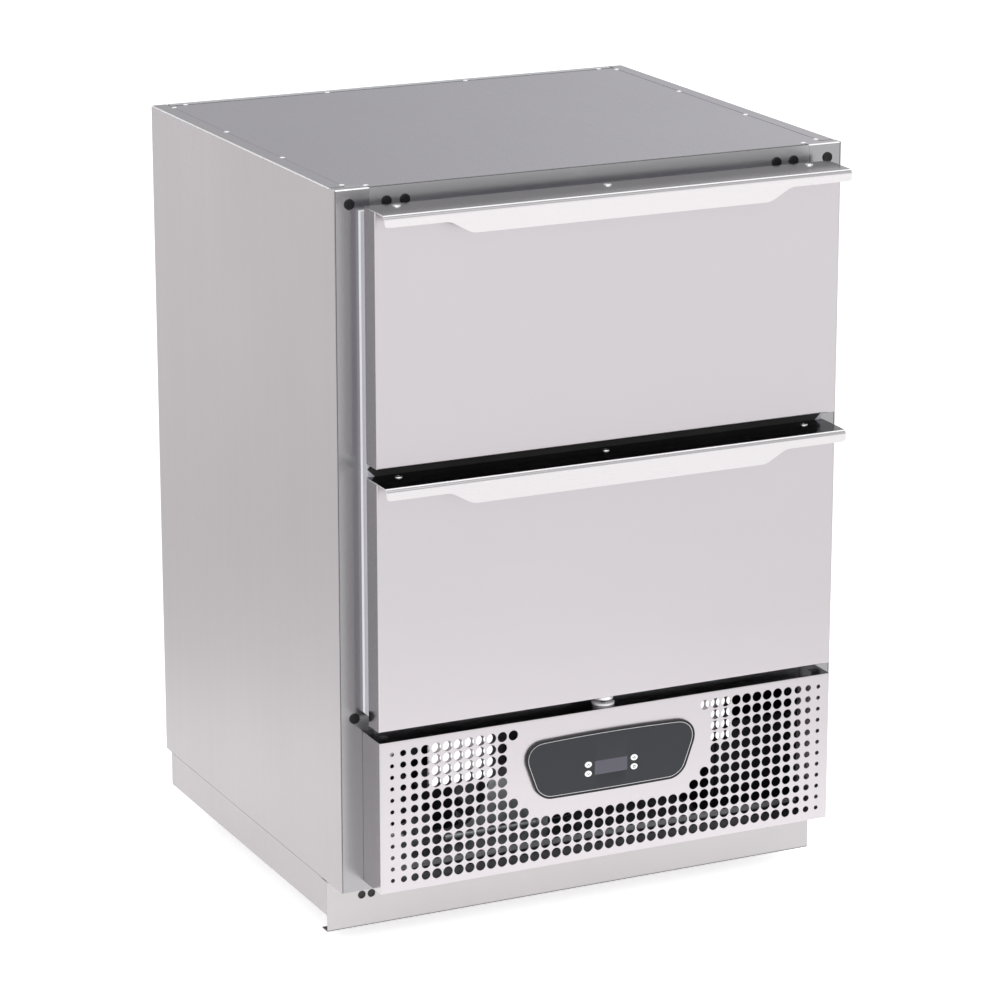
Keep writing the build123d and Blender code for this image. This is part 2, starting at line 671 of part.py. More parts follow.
def hole_places():
    """Centre and radius of each hole; the upper rows stop short of the control panel."""
    places = []
    middle = (HOLE_COLS - 1) / 2
    for row, plain in enumerate(PLAIN_COLS):
        z = GRILLE_TOP - HOLE_MARGIN - row * HOLE_PITCH
        for col in range(HOLE_COLS):
            if abs(col - middle) >= plain / 2:
                places.append(((col - middle) * HOLE_PITCH, z, hole_radius(col)))
    return places


def grille_half():
    return FRONT_HALF


def grille_panel():
    """Perforated front with a deep top flange and sides, and a foot that stops short of the floor pan's lip."""
    half = grille_half()
    shell = tray(-half, half, -GRILLE_D, -TOUCH, GRILLE_Z, GRILLE_TOP, GRILLE_T, "back")
    foot = GRILLE_FOOT - GRILLE_D
    shell -= block(GRILLE_T - half, half - GRILLE_T, foot, 1, GRILLE_Z - 1, GRILLE_Z + 2 * GRILLE_T)
    shell = fillet(shell.faces().sort_by(Axis.Y)[0].edges(), GRILLE_T * 0.8)
    sketch = Sketch() + [Pos(x, z) * Circle(r) for x, z, r in hole_places()]
    shell -= Pos(0, -GRILLE_D, 0) * extrude(Plane.XZ * sketch, 2 * GRILLE_T, both=True)
    z0, z1 = controller_window()
    shell -= block(-POCKET_W / 2, POCKET_W / 2, -GRILLE_D - 1, 1 - GRILLE_D + GRILLE_T, z0, z1)
    for x in (FLANGE_HOLE_INSET - half, half - FLANGE_HOLE_INSET):
        shell -= rod_z(x, -SCREW_BACK, GRILLE_TOP - 2 * GRILLE_T, GRILLE_TOP + 1, FLANGE_HOLE_R)
    return shell - rod_z(0, -SCREW_BACK, GRILLE_TOP - 2 * GRILLE_T, GRILLE_TOP + 1, SHANK_R + TOUCH)


def controller_window():
    mid = BODY_Z + DISPLAY_Z
    return mid - POCKET_H / 2, mid + POCKET_H / 2


def captive_washer():
    """Dished washer that keeps the quarter-turn screw in the grille's flange."""
    disc = rod_z(0, -SCREW_BACK, GRILLE_TOP, GRILLE_TOP + WASHER_T, WASHER_R)
    dish = Pos(0, -SCREW_BACK, GRILLE_TOP + WASHER_T - WASHER_DISH + WASHER_DISH_R) * Sphere(WASHER_DISH_R)
    return disc - dish - rod_z(0, -SCREW_BACK, GRILLE_TOP - 1, GRILLE_TOP + 3, SHANK_R + TOUCH)


def thumb_screw():
    """Captive screw with a slotted flat head and a keeper under the tab."""
    z_head = GRILLE_TOP + KNOB_RISE
    head = rod_z(0, -SCREW_BACK, z_head, z_head + KNOB_T, KNOB_R)
    head = fillet(head.edges().group_by(Axis.Z)[-1] + head.edges().group_by(Axis.Z)[0], KNOB_T * 0.3)
    head -= block(-6, 6, -SCREW_BACK - 0.8, -SCREW_BACK + 0.8, z_head + KNOB_T - 0.8, z_head + KNOB_T + 1)
    z_keep = GRILLE_TOP - GRILLE_T - TAB_T - 2 * TOUCH
    keeper = rod_z(0, -SCREW_BACK, z_keep - KEEPER_T, z_keep, KEEPER_R)
    return head + rod_z(0, -SCREW_BACK, z_keep - KEEPER_T, z_head, SHANK_R) + keeper


def panel_outline(inset):
    """Rounded trapezoid, wider at the top, with slightly bowed top and bottom edges."""
    top, low = PANEL_TOP_W / 2, PANEL_LOW_W / 2
    up, down = PANEL_H / 2, -PANEL_H / 2
    edges = Curve() + [
        ThreePointArc((-top, up), (0, up + PANEL_CROWN), (top, up)),
        Line((top, up), (low, down)),
        ThreePointArc((low, down), (0, down - PANEL_SAG), (-low, down)),
        Line((-low, down), (-top, up)),
    ]
    face = make_face(edges)
    face = fillet(face.vertices().group_by(Axis.Y)[-1], PANEL_TOP_R)
    lower = [v for v in face.vertices() if abs(v.Y - down) < 0.01]
    face = fillet(lower, PANEL_LOW_R)
    return offset(face, -inset) if inset else face


def control_panel():
    """Moulded panel with a raised rim, a display opening and four oval button holes."""
    face = Pos(0, -GRILLE_D, PANEL_MID)
    plate = face * extrude(Plane.XZ * panel_outline(0), PANEL_T)
    field = Pos(0, PANEL_FACE, PANEL_MID) * extrude(Plane.XZ * panel_outline(RIM_W), RIM_T, both=True)
    plate -= field
    z0, z1 = controller_window()
    plate -= block(-POCKET_W / 2, POCKET_W / 2, PANEL_FACE + RIM_T + PANEL_SKIN, 1 - GRILLE_D, z0, z1)
    plate -= display_block(PANEL_FACE - 1, 1 - GRILLE_D)
    holes = [rod for rod in (oval(x, z, PANEL_FACE - 1, 1 - GRILLE_D, TOUCH) for x, z in button_places())]
    return plate - holes


def display_block(y0, y1):
    mid = BODY_Z + DISPLAY_Z
    return block(-DISPLAY_W / 2, DISPLAY_W / 2, y0, y1, mid - DISPLAY_H / 2, mid + DISPLAY_H / 2)


def display_window():
    y0 = PANEL_FACE + RIM_T
    return display_block(y0, y0 + DISPLAY_T)


def oval(x, z, y0, y1, grow):
    outline = Ellipse(BUTTON_W / 2 + grow, BUTTON_H / 2 + grow)
    return Pos(x, y1, z) * extrude(Plane.XZ * outline, y1 - y0)


def button_places():
    mid = BODY_Z + DISPLAY_Z
    return [(side * BUTTON_X, mid + up * BUTTON_STEP / 2) for side in (-1, 1) for up in (1, -1)]


def button(x, z):
    """Oval cap with a flange behind the panel's skin."""
    back = PANEL_FACE + RIM_T + PANEL_SKIN + TOUCH
    cap = oval(x, z, PANEL_FACE + RIM_T - BUTTON_PROUD, back, 0)
    cap = fillet(cap.edges().group_by(Axis.Y)[0], BUTTON_PROUD * 0.5)
    return cap + oval(x, z, back, back + FLANGE_T, BUTTON_FLANGE)


def controller():
    """Electronic controller behind the panel: housing, nose and the block that backs the display."""
    mid = BODY_Z + DISPLAY_Z
    y0 = GRILLE_T - GRILLE_D
    body = block(-CONTROLLER_W / 2, CONTROLLER_W / 2, y0, y0 + CONTROLLER_D, mid - CONTROLLER_H / 2,
                 mid + CONTROLLER_H / 2)
    body = fillet(body.edges().filter_by(Axis.Y), 3)
    nose = PANEL_FACE + RIM_T + PANEL_SKIN + TOUCH + FLANGE_T + BUTTON_TRAVEL + TOUCH / 2
    z0, z1 = controller_window()
    body += block(FIT - POCKET_W / 2, POCKET_W / 2 - FIT, nose, y0, z0 + FIT, z1 - FIT)
    return body + display_block(PANEL_FACE + RIM_T + DISPLAY_T, y0)


def u_bend(x, y, z_mid, radius, side):
    """Half a torus joining two tubes that lie along x, one above the other."""
    bend = Pos(x, y, z_mid) * Rot(90, 0, 0) * Torus(radius, TUBE_R)
    reach = 2 * radius
    x0, x1 = (x, x + reach) if side > 0 else (x - reach, x)
    return bend & block(x0, x1, y - reach, y + reach, z_mid - reach, z_mid + reach)


def coil_rows(y0, depth):
    return y0 + depth * 0.28, y0 + depth * 0.72


def coil_levels(z0, height):
    return [z0 + (i + 0.5) * height / TUBES for i in range(TUBES)]


def finned_coil(x_mid, width, y0, depth, z0, height):
    """Tube coil through a stack of flat fins; its bends stay within the width."""
    bend_r = height / TUBES / 2
    end = width / 2 - bend_r - TUBE_R
    count = int(2 * (end - TUBE_R) / FIN_PITCH)
    start = x_mid - count * FIN_PITCH / 2
    fins = [block(start + i * FIN_PITCH, start + i * FIN_PITCH + FIN_T, y0, y0 + depth, z0, z0 + height)
            for i in range(count)]
    coil = Part() + fins
    levels = coil_levels(z0, height)
    for y in coil_rows(y0, depth):
        coil += [rod_x(x_mid - end, x_mid + end, y, z, TUBE_R) for z in levels]
        for i in range(TUBES - 1):
            side = -1 if i % 2 == 0 else 1
            coil += u_bend(x_mid + side * end, y, (levels[i] + levels[i + 1]) / 2, bend_r, side)
    return coil


def condenser_stubs():
    """Where the lines enter the condenser: height and row of the inlet and of the outlet."""
    rows = coil_rows(COND_Y, COND_D)
    levels = coil_levels(COND_Z, COND_H)
    return (rows[0], levels[-1]), (rows[1], levels[0])


def stub_end():
    return COND_X + COND_W / 2 + 6


def condenser():
    coil = finned_coil(COND_X, COND_W - 2 * PAN_T - 2 * TOUCH, COND_Y, COND_D, COND_Z, COND_H)
    return coil + [rod_x(COND_X, stub_end(), y, z, TUBE_R) for y, z in condenser_stubs()]


def evaporator_pipes():
    """Place and radius of the capillary and of the suction pipe where they reach the coil."""
    rows = coil_rows(EVAP_Y, EVAP_D)
    return (PIPE_X - 5, rows[0], CAPILLARY_R), (PIPE_X + 4, rows[1], SUCTION_R)


def evaporator_coil():
    coil = finned_coil(0, EVAP_W, EVAP_Y, EVAP_D, EVAP_Z, EVAP_H)
    level = coil_levels(EVAP_Z, EVAP_H)[0]
    return coil + [rod_z(x, y, EVAP_Z - 4, level, r) for x, y, r in evaporator_pipes()]


def shroud_y():
    return COND_Y + COND_D


def condenser_shroud():
    """Box round the back of the condenser, with the fan ring in its plate and feet on the floor."""
    half = COND_W / 2
    y0 = shroud_y()
    z0, z1 = FLOOR_Z, COND_Z + COND_H + 4
    hood = tray(COND_X - half, COND_X + half, y0, y0 + 12, z0, z1, PAN_T, "front")
    y1 = y0 + 12
    hood += rod_y(FAN_X, y1 - PAN_T, y1 + SHROUD_RING, FAN_Z, FAN_R + FAN_GAP + PAN_T)
    hood -= rod_y(FAN_X, y0, y1 + SHROUD_RING + 1, FAN_Z, FAN_R + FAN_GAP)
    cheek = block(COND_X - half, COND_X - half + PAN_T, COND_Y, y0, z0, z1)
    shelf = block(COND_X - half, COND_X + half, COND_Y, y0, z0, COND_Z)
    hood += cheek + Pos(COND_W - PAN_T, 0, 0) * cheek + shelf
    return hood - [rod_x(COND_X + half - 4, COND_X + half + 4, y, z, TUBE_R + TOUCH) for y, z in condenser_stubs()]


def fan_wheel(x, z, y0, depth, radius, hub_r, blades):
    """Hub with a shaft and pitched blades, turning about y."""
    wheel = rod_y(x, y0, y0 + depth, z, hub_r)
    limit = rod_y(x, y0, y0 + depth, z, radius)
    for i in range(blades):
        blade = Pos(hub_r * 0.6 + radius / 2, 0, 0) * Rot(32, 0, 0) * Box(radius, 1.6, radius * 0.62)
        wheel += (Pos(x, y0 + depth / 2, z) * Rot(0, 360 / blades * i, 0) * blade) & limit
    return wheel + rod_y(x, y0 + depth, y0 + depth + SHAFT_IN, z, SHAFT_R)


def fan_motor(x, z, y_arms, radius, length, reach, y_hub):
    """Round motor on a flat cross of arms, bored for the wheel's shaft."""
    body = rod_y(x, y_arms, y_arms + ARM_T + length, z, radius)
    body = fillet(body.edges().group_by(Axis.Y)[-1], radius * 0.2)
    for angle in (45, 135):
        arm = Box(2 * reach, ARM_T, ARM_W)
        body += Pos(x, y_arms + ARM_T / 2, z) * Rot(0, angle, 0) * arm
    depth = y_hub + SHAFT_IN + 1
    return body - rod_y(x, y_arms - 1, depth, z, SHAFT_R + SHAFT_FIT)


def condenser_fan_y():
    return shroud_y() + 12 + 4


def condenser_fan():
    return fan_wheel(FAN_X, FAN_Z, condenser_fan_y(), FAN_DEPTH, FAN_R, FAN_HUB_R, FAN_BLADES)


def condenser_fan_motor():
    arms = shroud_y() + 12 + SHROUD_RING
    reach = FAN_R + FAN_GAP + PAN_T
    return fan_motor(FAN_X, FAN_Z, arms, MOTOR_R, MOTOR_L, reach, condenser_fan_y() + FAN_DEPTH)


def evaporator_fan():
    return fan_wheel(0, EFAN_MID, COVER_Y + SHEET + 3, FAN_DEPTH, EFAN_R, EMOTOR_R * 0.6, FAN_BLADES)


def evaporator_fan_motor():
    arms = COVER_Y + SHEET + SHROUD_RING
    reach = EFAN_R + FAN_GAP + SHEET
    hub = COVER_Y + SHEET + 3 + FAN_DEPTH
    return fan_motor(0, EFAN_MID, arms, EMOTOR_R, EMOTOR_L, reach, hub)


def evaporator_cover():
    """Cover in front of the coil, with a pierced fan guard, a fan ring and return slots."""
    half = OPENING - TOUCH
    z0, z1 = CHAMBER_FLOOR, CHAMBER_TOP - TOUCH
    cover = tray(-half, half, COVER_Y, COVER_Y + COVER_FLANGE, z0, z1, SHEET, "back")
    ring_r = EFAN_R + FAN_GAP
    y1 = COVER_Y + SHEET
    cover += rod_y(0, y1, y1 + SHROUD_RING, EFAN_MID, ring_r + SHEET) - rod_y(0, y1, y1 + 30, EFAN_MID, ring_r)
    guard = [Pos(0, EFAN_MID) * Circle(4)]
    for turn in range(1, 5):
        for i in range(6 * turn):
            angle = 2 * pi * i / (6 * turn)
            spot = Pos(12 * turn * cos(angle), EFAN_MID + 12 * turn * sin(angle))
            guard.append(spot * Circle(4))
    cover -= Pos(0, COVER_Y, 0) * extrude(Plane.XZ * (Sketch() + guard), 3, both=True)
    slots = [block(x, x + 40, COVER_Y - 1, y1 + 1, z0 + 30 + 16 * i, z0 + 36 + 16 * i)
             for x in (-220, -165, -110, -55, 15, 70, 125, 180) for i in range(3)]
    return cover - slots


def drip_tray():
    """Tray under the coil, with a spout through the floor."""
    y0 = CHAMBER_BACK - EVAP_D - 10
    half = EVAP_W / 2 + 20
    low = CHAMBER_FLOOR + TOUCH
    catch = tray(-half, half, y0, CHAMBER_BACK - TOUCH, low, low + TRAY_H, PAN_T, "top")
    rests = [block(x, x + PAN_T, y0, CHAMBER_BACK - TOUCH, low + PAN_T, EVAP_Z) for x in (-half, half - PAN_T)]
    lugs = [block(x0, x1, y0, CHAMBER_BACK - TOUCH, EVAP_Z - PAN_T, EVAP_Z)
            for x0, x1 in ((-half, 50 - half), (half - 50, half))]
    spout = rod_z(DRAIN_X, DRAIN_Y, BODY_Z + PAN_H + 14, low + PAN_T, DRAIN_R)
    bore = rod_z(DRAIN_X, DRAIN_Y, BODY_Z, low + 2 * PAN_T, DRAIN_R - PAN_T)
    sleeve = rod_z(PIPE_X, PIPE_Y, low, low + TRAY_H, PIPE_HOLE_R + PAN_T)
    return catch + rests + lugs + spout + sleeve - bore - rod_z(PIPE_X, PIPE_Y, low - 1, low + 30, PIPE_HOLE_R)


def compressor():
    """Hermetic compressor: oval shell, welded seam, foot plates, terminal box and stubs."""
    z0 = FLOOR_Z + MOUNT_H
    shell = Pos(COMP_X, COMP_Y, z0) * extrude(Ellipse(COMP_A - 6, COMP_B - 6), COMP_H)
    shell = fillet(shell.edges().group_by(Axis.Z)[-1], COMP_CROWN_R)
    seam = Pos(COMP_X, COMP_Y, z0 + COMP_H * 0.5) * extrude(Ellipse(COMP_A - 2, COMP_B - 2), 5)
    body = shell + seam
    for side in (-1, 1):
        x = COMP_X + side * (COMP_A - 26)
        body += block(x - 16, x + 16, COMP_Y - COMP_B, COMP_Y + COMP_B, z0, z0 + COMP_FOOT_T)
    for x, y in mount_places():
        body -= rod_z(x, y, z0 - 1, z0 + COMP_FOOT_T + 1, MOUNT_R * 0.5)
    body += block(COMP_X - 26, COMP_X + 26, COMP_Y - COMP_B - 22, COMP_Y - COMP_B + 20, z0 + 40, z0 + 92)
    return body


def mount_places():
    xs = (COMP_X - COMP_A + 26, COMP_X + COMP_A - 26)
    return [(x, COMP_Y + side * (COMP_B - 12)) for x in xs for side in (-1, 1)]


def compressor_mounts():
    """Rubber grommets, each with a waist that fills a hole of the foot plate."""
    rubbers = []
    top = FLOOR_Z + MOUNT_H
    for x, y in mount_places():
        rubber = rod_z(x, y, FLOOR_Z, top, MOUNT_R)
        rubber += rod_z(x, y, top, top + COMP_FOOT_T, MOUNT_R * 0.5 - FIT)
        rubber += rod_z(x, y, top + COMP_FOOT_T, top + COMP_FOOT_T + 4, MOUNT_R * 0.8)
        rubbers.append(rubber)
    return Compound(rubbers)


def condensate_pan():
    return tray(*PAN_X, *PAN_Y, FLOOR_Z, FLOOR_Z + PAN_H, PAN_T, "top")


def electrical_box():
    x0, x1 = EBOX_X
    y0, y1 = EBOX_Y
    body = fillet(block(x0, x1, y0, y1, FLOOR_Z, FLOOR_Z + EBOX_H).edges().filter_by(Axis.Z), 4)
    lid = block(x0 + 6, x1 - 6, y0 - 2, y0, FLOOR_Z + 8, FLOOR_Z + EBOX_H - 8)
    knock = [rod_y(x0 + 30 * i, y1, y1 + 8, FLOOR_Z + 30, 8) for i in (1, 2, 3)]
    return body + lid + knock


def cable_gland():
    """Gland for the supply cord in the back panel: dome nut, body and lock nut."""
    z = BODY_Z + GLAND_Z
    inner = BODY_DEPTH - SHEET
    dome = rod_y(GLAND_X, BODY_DEPTH, BODY_DEPTH + GLAND_OUT, z, GLAND_R)
    dome = fillet(dome.edges().group_by(Axis.Y)[-1], 3)
    body = rod_y(GLAND_X, inner - GLAND_IN, BODY_DEPTH, z, GLAND_BODY_R - FIT)
    nut = Pos(GLAND_X, inner, z) * extrude(Plane.XZ * RegularPolygon(GLAND_R + 1, 6), 5)
    bore = rod_y(GLAND_X, inner - GLAND_IN - 1, BODY_DEPTH + GLAND_OUT + 1, z, CORD_R)
    return dome + body + nut - bore


def tube(points, bend, radius):
    path = FilletPolyline(*points, radius=bend)
    return sweep(Plane(path @ 0, z_dir=path % 0) * Circle(radius), path)


def shell_x(dy):
    """Left side of the compressor's shell at a distance dy from its middle."""
    return COMP_X - (COMP_A - 6) * sqrt(1 - (dy / (COMP_B - 6)) ** 2)


def refrigerant_lines():
    """Discharge, liquid and suction lines, and the drier brazed into the liquid line."""
    z_low, z_high = FLOOR_Z + MOUNT_H + 30, FLOOR_Z + MOUNT_H + 60
    start = shell_x(20 - SUCTION_R) - TOUCH
    x_mid = (PAN_X[1] + COMP_X - COMP_A) / 2 + 4
    (y_in, z_in), (y_out, z_out) = condenser_stubs()
    (x_cap, y_cap, _), (x_suc, y_suc, _) = evaporator_pipes()
    top = EVAP_Z - 4
    drier_y = (COMP_Y - 170, COMP_Y - 90)
    z_drier = FLOOR_Z + 60
    x_run = x_mid + 14
    discharge = tube([(start, COMP_Y - 20, z_low), (x_run, COMP_Y - 20, z_low), (x_run, y_in, z_low),
                      (x_run, y_in, z_in), (stub_end(), y_in, z_in)], 9, LINE_R)
    liquid = tube([(stub_end(), y_out, z_out), (x_mid, y_out, z_out), (x_mid, y_out, z_drier),
                   (x_mid, drier_y[0], z_drier)], 9, LINE_R)
    drier = fillet(rod_y(x_mid, *drier_y, z_drier, 10).edges(), 6)
    capillary = tube([(x_mid, drier_y[1], z_drier), (x_mid, y_cap, z_drier), (x_cap, y_cap, z_drier),
                      (x_cap, y_cap, top)], 9, CAPILLARY_R)
    suction = tube([(start, COMP_Y + 20, z_high), (x_suc - 30, COMP_Y + 20, z_high), (x_suc - 30, y_suc, z_high),
                    (x_suc, y_suc, z_high), (x_suc, y_suc, top)], 9, SUCTION_R)
    return Compound([discharge, liquid + drier + capillary, suction])


def drawer_pieces(name, z0):
    save(f"{name}_drawer_front", drawer_front(z0) - drawer_front_holes(z0))
    save(f"{name}_drawer_back_pan", drawer_back_pan(z0))
    save(f"{name}_drawer_foam", drawer_foam(z0) - drawer_front_holes(z0))
    save(f"{name}_drawer_handle", drawer_handle(z0))
    save(f"{name}_handle_screws", handle_screws(z0))
    save(f"{name}_drawer_box", drawer_box(z0))
    save(f"{name}_drawer_slides", drawer_slides(z0))
    save(f"{name}_middle_slides", middle_slides(z0))


def main():
    os.makedirs("parts", exist_ok=True)
    save("side_panel_right", side_panel())
    save("side_panel_left", left_of(side_panel()))
    save("back_panel", back_panel())
    save("top_panel", top_panel())
    save("front_post_right", front_post())
    save("front_post_left", left_of(front_post()))
    save("top_rail", top_rail())
    save("middle_rail", middle_rail())
    save("lower_rail", lower_rail())
    save("insulation_foam", insulation_foam())
    save("inner_liner", inner_liner())
    save("base_panel", base_panel())
    save("levelling_feet", levelling_feet())
    save("plinth_front", plinth_front())
    save("plinth_skirt", plinth_skirt())
    save("hole_plugs", hole_plugs())
    save("panel_tacks", panel_tacks())
    save("drawer_gaskets", drawer_gaskets())
    save("cabinet_slides", cabinet_slides())
    drawer_pieces("lower", LOWER_Z)
    drawer_pieces("upper", UPPER_Z)
    save("grille_panel", grille_panel())
    save("captive_washer", captive_washer())
    save("thumb_screw", thumb_screw())
    save("control_panel", control_panel())
    save("display_window", display_window())
    save("controller", controller())
    for index, (x, z) in enumerate(button_places(), start=1):
        save(f"button_{index}", button(x, z))
    save("condenser", condenser())
    save("condenser_shroud", condenser_shroud())
    save("condenser_fan", condenser_fan())
    save("condenser_fan_motor", condenser_fan_motor())
    save("compressor", compressor())
    save("compressor_mounts", compressor_mounts())
    save("condensate_pan", condensate_pan())
    save("electrical_box", electrical_box())
    save("cable_gland", cable_gland())
    save("refrigerant_lines", refrigerant_lines())
    save("evaporator_coil", evaporator_coil())
    save("evaporator_cover", evaporator_cover())
    save("evaporator_fan", evaporator_fan())
    save("evaporator_fan_motor", evaporator_fan_motor())
    save("drip_tray", drip_tray())


main()
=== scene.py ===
"""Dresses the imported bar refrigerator: modelled outer pieces, materials, a plain stage and a camera."""
from math import pi, radians, sqrt

import bpy
from mathutils import Matrix, Vector


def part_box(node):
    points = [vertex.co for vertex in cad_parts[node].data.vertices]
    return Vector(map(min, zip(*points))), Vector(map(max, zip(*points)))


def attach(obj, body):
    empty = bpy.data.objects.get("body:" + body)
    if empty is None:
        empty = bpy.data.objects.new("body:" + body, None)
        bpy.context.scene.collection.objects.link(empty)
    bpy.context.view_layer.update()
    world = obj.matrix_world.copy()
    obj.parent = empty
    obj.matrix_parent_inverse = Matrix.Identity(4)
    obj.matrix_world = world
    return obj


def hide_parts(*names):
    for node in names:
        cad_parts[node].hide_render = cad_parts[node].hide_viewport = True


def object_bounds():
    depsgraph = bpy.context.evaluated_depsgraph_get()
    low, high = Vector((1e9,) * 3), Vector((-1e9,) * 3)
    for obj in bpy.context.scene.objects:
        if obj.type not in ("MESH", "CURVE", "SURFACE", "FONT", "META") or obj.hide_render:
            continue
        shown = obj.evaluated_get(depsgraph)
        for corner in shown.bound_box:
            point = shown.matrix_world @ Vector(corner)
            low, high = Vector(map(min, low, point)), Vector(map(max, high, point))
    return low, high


bl_info = {
    "name": "Bar refrigerator",
    "version": (1, 0, 0),
    "blender": (4, 5, 0),
    "location": "3D View > Sidebar > Bar refrigerator",
    "description": "Builds the visible pieces of a two-drawer bar refrigerator round its packed frame",
    "category": "Object",
}

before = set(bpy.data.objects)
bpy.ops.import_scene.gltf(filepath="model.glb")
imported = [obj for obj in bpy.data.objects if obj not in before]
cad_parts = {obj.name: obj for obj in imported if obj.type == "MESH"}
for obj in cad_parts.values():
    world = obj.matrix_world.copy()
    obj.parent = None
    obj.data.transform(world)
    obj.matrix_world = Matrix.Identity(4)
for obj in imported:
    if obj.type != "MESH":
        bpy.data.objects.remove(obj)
CAD_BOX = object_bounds()
MIDDLE = (CAD_BOX[0] + CAD_BOX[1]) / 2
MM = 0.001
SAME_PLACE = 0.02 * MM
LARGE_FACE = 3e-4


def low(node):
    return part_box(node)[0]


def high(node):
    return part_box(node)[1]


FRONT = low("top_rail").y
TOP = high("side_panel_left").z
BASE = low("side_panel_left").z
HALF = high("side_panel_right").x
BACK = high("side_panel_right").y
OPENING = high("top_rail").x


# Tests that choose vertices, edges and faces

def close_to(a, b, gap=SAME_PLACE):
    return abs(a - b) < gap


def everything(*places):
    return True


def at(**levels):
    """A test for vertices, and for edges by both ends, that lie at levels such as x=HALF, z=TOP."""
    return lambda *ends: all(close_to(getattr(end, axis), level) for end in ends
                             for axis, level in levels.items())


def facing(direction, least=0.9):
    """A test for faces that look along an axis, such as "+z" or "-y", by at least this cosine."""
    sign = 1 if direction[0] == "+" else -1
    return lambda centre, normal: sign * getattr(normal, direction[1]) > least


def on_crest(centre, normal):
    """True on the rounded folds along the top, which get a thin line of painted highlight or painted shade.
    """
    return 0.25 < normal.z < 0.95 and centre.z > TOP - 3 * MM


# Shaping

def alone(piece=None):
    """Object mode, with only this piece selected and active."""
    if bpy.context.object and bpy.context.object.mode != "OBJECT":
        bpy.ops.object.mode_set(mode="OBJECT")
    bpy.ops.object.select_all(action="DESELECT")
    if piece:
        piece.select_set(True)
        bpy.context.view_layer.objects.active = piece


def pick(piece, kind, test):
    """Edit mode, with the vertices, edges or faces that pass the test selected."""
    alone(piece)
    bpy.ops.object.mode_set(mode="EDIT")
    bpy.ops.mesh.select_mode(type=kind)
    bpy.ops.mesh.select_all(action="DESELECT")
    bpy.ops.object.mode_set(mode="OBJECT")
    mesh = piece.data
    if kind == "VERT":
        for vertex in mesh.vertices:
            vertex.select = test(vertex.co)
    elif kind == "EDGE":
        for edge in mesh.edges:
            edge.select = test(*(mesh.vertices[i].co for i in edge.vertices))
    else:
        for face in mesh.polygons:
            face.select = test(face.center, face.normal)
    bpy.ops.object.mode_set(mode="EDIT")


def shape(piece, kind, test, operator, **values):
    """Runs one edit mode operator on what passes the test."""
    pick(piece, kind, test)
    operator(**values)
    alone(piece)


def pull(vector):
    bpy.ops.mesh.extrude_region_move(TRANSFORM_OT_translate={"value": vector})


def widen(piece, test, vector):
    """Pulls new sheet out of the edges that pass the test."""
    pick(piece, "EDGE", test)
    pull(vector)
    alone(piece)


def fold(piece, test, radius, segments=5):
    """Rounds the edges that pass the test, as a press brake does."""
    shape(piece, "EDGE", test, bpy.ops.mesh.bevel, offset=radius, offset_type="OFFSET", segments=segments,
          affect="EDGES", clamp_overlap=True)


def round_corners(piece, test, reach, segments):
    shape(piece, "VERT", test, bpy.ops.mesh.bevel, offset=reach, segments=segments, affect="VERTICES")


def cut(piece, point, normal):
    shape(piece, "FACE", everything, bpy.ops.mesh.bisect, plane_co=point, plane_no=normal)


def drop(piece, kind, test):
    shape(piece, kind, test, bpy.ops.mesh.delete, type=kind)


def outward(piece):
    shape(piece, "FACE", everything, bpy.ops.mesh.normals_make_consistent, inside=False)


def weld(piece):
    shape(piece, "VERT", everything, bpy.ops.mesh.remove_doubles, threshold=0.01 * MM)
    outward(piece)


def modifier(piece, kind, **values):
    alone(piece)
    added = piece.modifiers.new(kind.title(), kind)
    for key, value in values.items():
        setattr(added, key, value)
    bpy.ops.object.modifier_apply(modifier=added.name)


def thicken(piece, sheet, **plane):
    """Gives a sheet its wall on the inner side. A drawn sheet may face either way, so its plane is named."""
    side = -1
    for axis, level in plane.items():
        faces = [face for face in piece.data.polygons if close_to(getattr(face.center, axis), level)
                 and abs(getattr(face.normal, axis)) > 0.9]
        normal = max(faces, key=lambda face: face.area).normal
        side = 1 if getattr(normal, axis) * (getattr(MIDDLE, axis) - level) > 0 else -1
    modifier(piece, "SOLIDIFY", thickness=sheet, offset=side, use_even_offset=True)


def carve(piece, *tools):
    for tool in tools:
        modifier(piece, "BOOLEAN", object=tool, operation="DIFFERENCE", solver="EXACT")
        bpy.data.objects.remove(tool)


def crisp(piece, width, segments=2, angle=35):
    """Breaks the sharp edges and smooths the shading between them."""
    modifier(piece, "BEVEL", width=width, segments=segments, limit_method="ANGLE", angle_limit=radians(angle),
             use_clamp_overlap=True, harden_normals=False)
    smooth(piece)


def smooth(piece, angle=30):
    """Smooth shading up to an angle. Each large face gets a sharp outline, so that it is shaded flat."""
    alone(piece)
    bpy.ops.object.shade_smooth_by_angle(angle=radians(angle))
    areas = {tuple(face.center): face.area for face in piece.data.polygons}
    if max(areas.values()) > LARGE_FACE:
        pick(piece, "FACE", lambda centre, normal: areas[tuple(centre)] > LARGE_FACE)
        bpy.ops.mesh.region_to_loop()
        bpy.ops.mesh.mark_sharp()
        alone(piece)
    modifier(piece, "WEIGHTED_NORMAL", keep_sharp=True)


# Starting shapes and copies

def fix(piece):
    """Gives the piece its place and size in its mesh."""
    alone(piece)
    bpy.ops.object.transform_apply(location=True, rotation=True, scale=True)
    return piece


def primitive(add, name, scale=(1, 1, 1), **values):
    """A basic shape made by one of Blender's own operators."""
    alone()
    add(**values)
    piece = bpy.context.object
    piece.name = name
    piece.scale = scale
    return fix(piece)


def block(name, a, b):
    """A box between two opposite corners, given in any order."""
    a, b = Vector(map(min, a, b)), Vector(map(max, a, b))
    return primitive(bpy.ops.mesh.primitive_cube_add, name, b - a, size=1, location=(a + b) / 2)


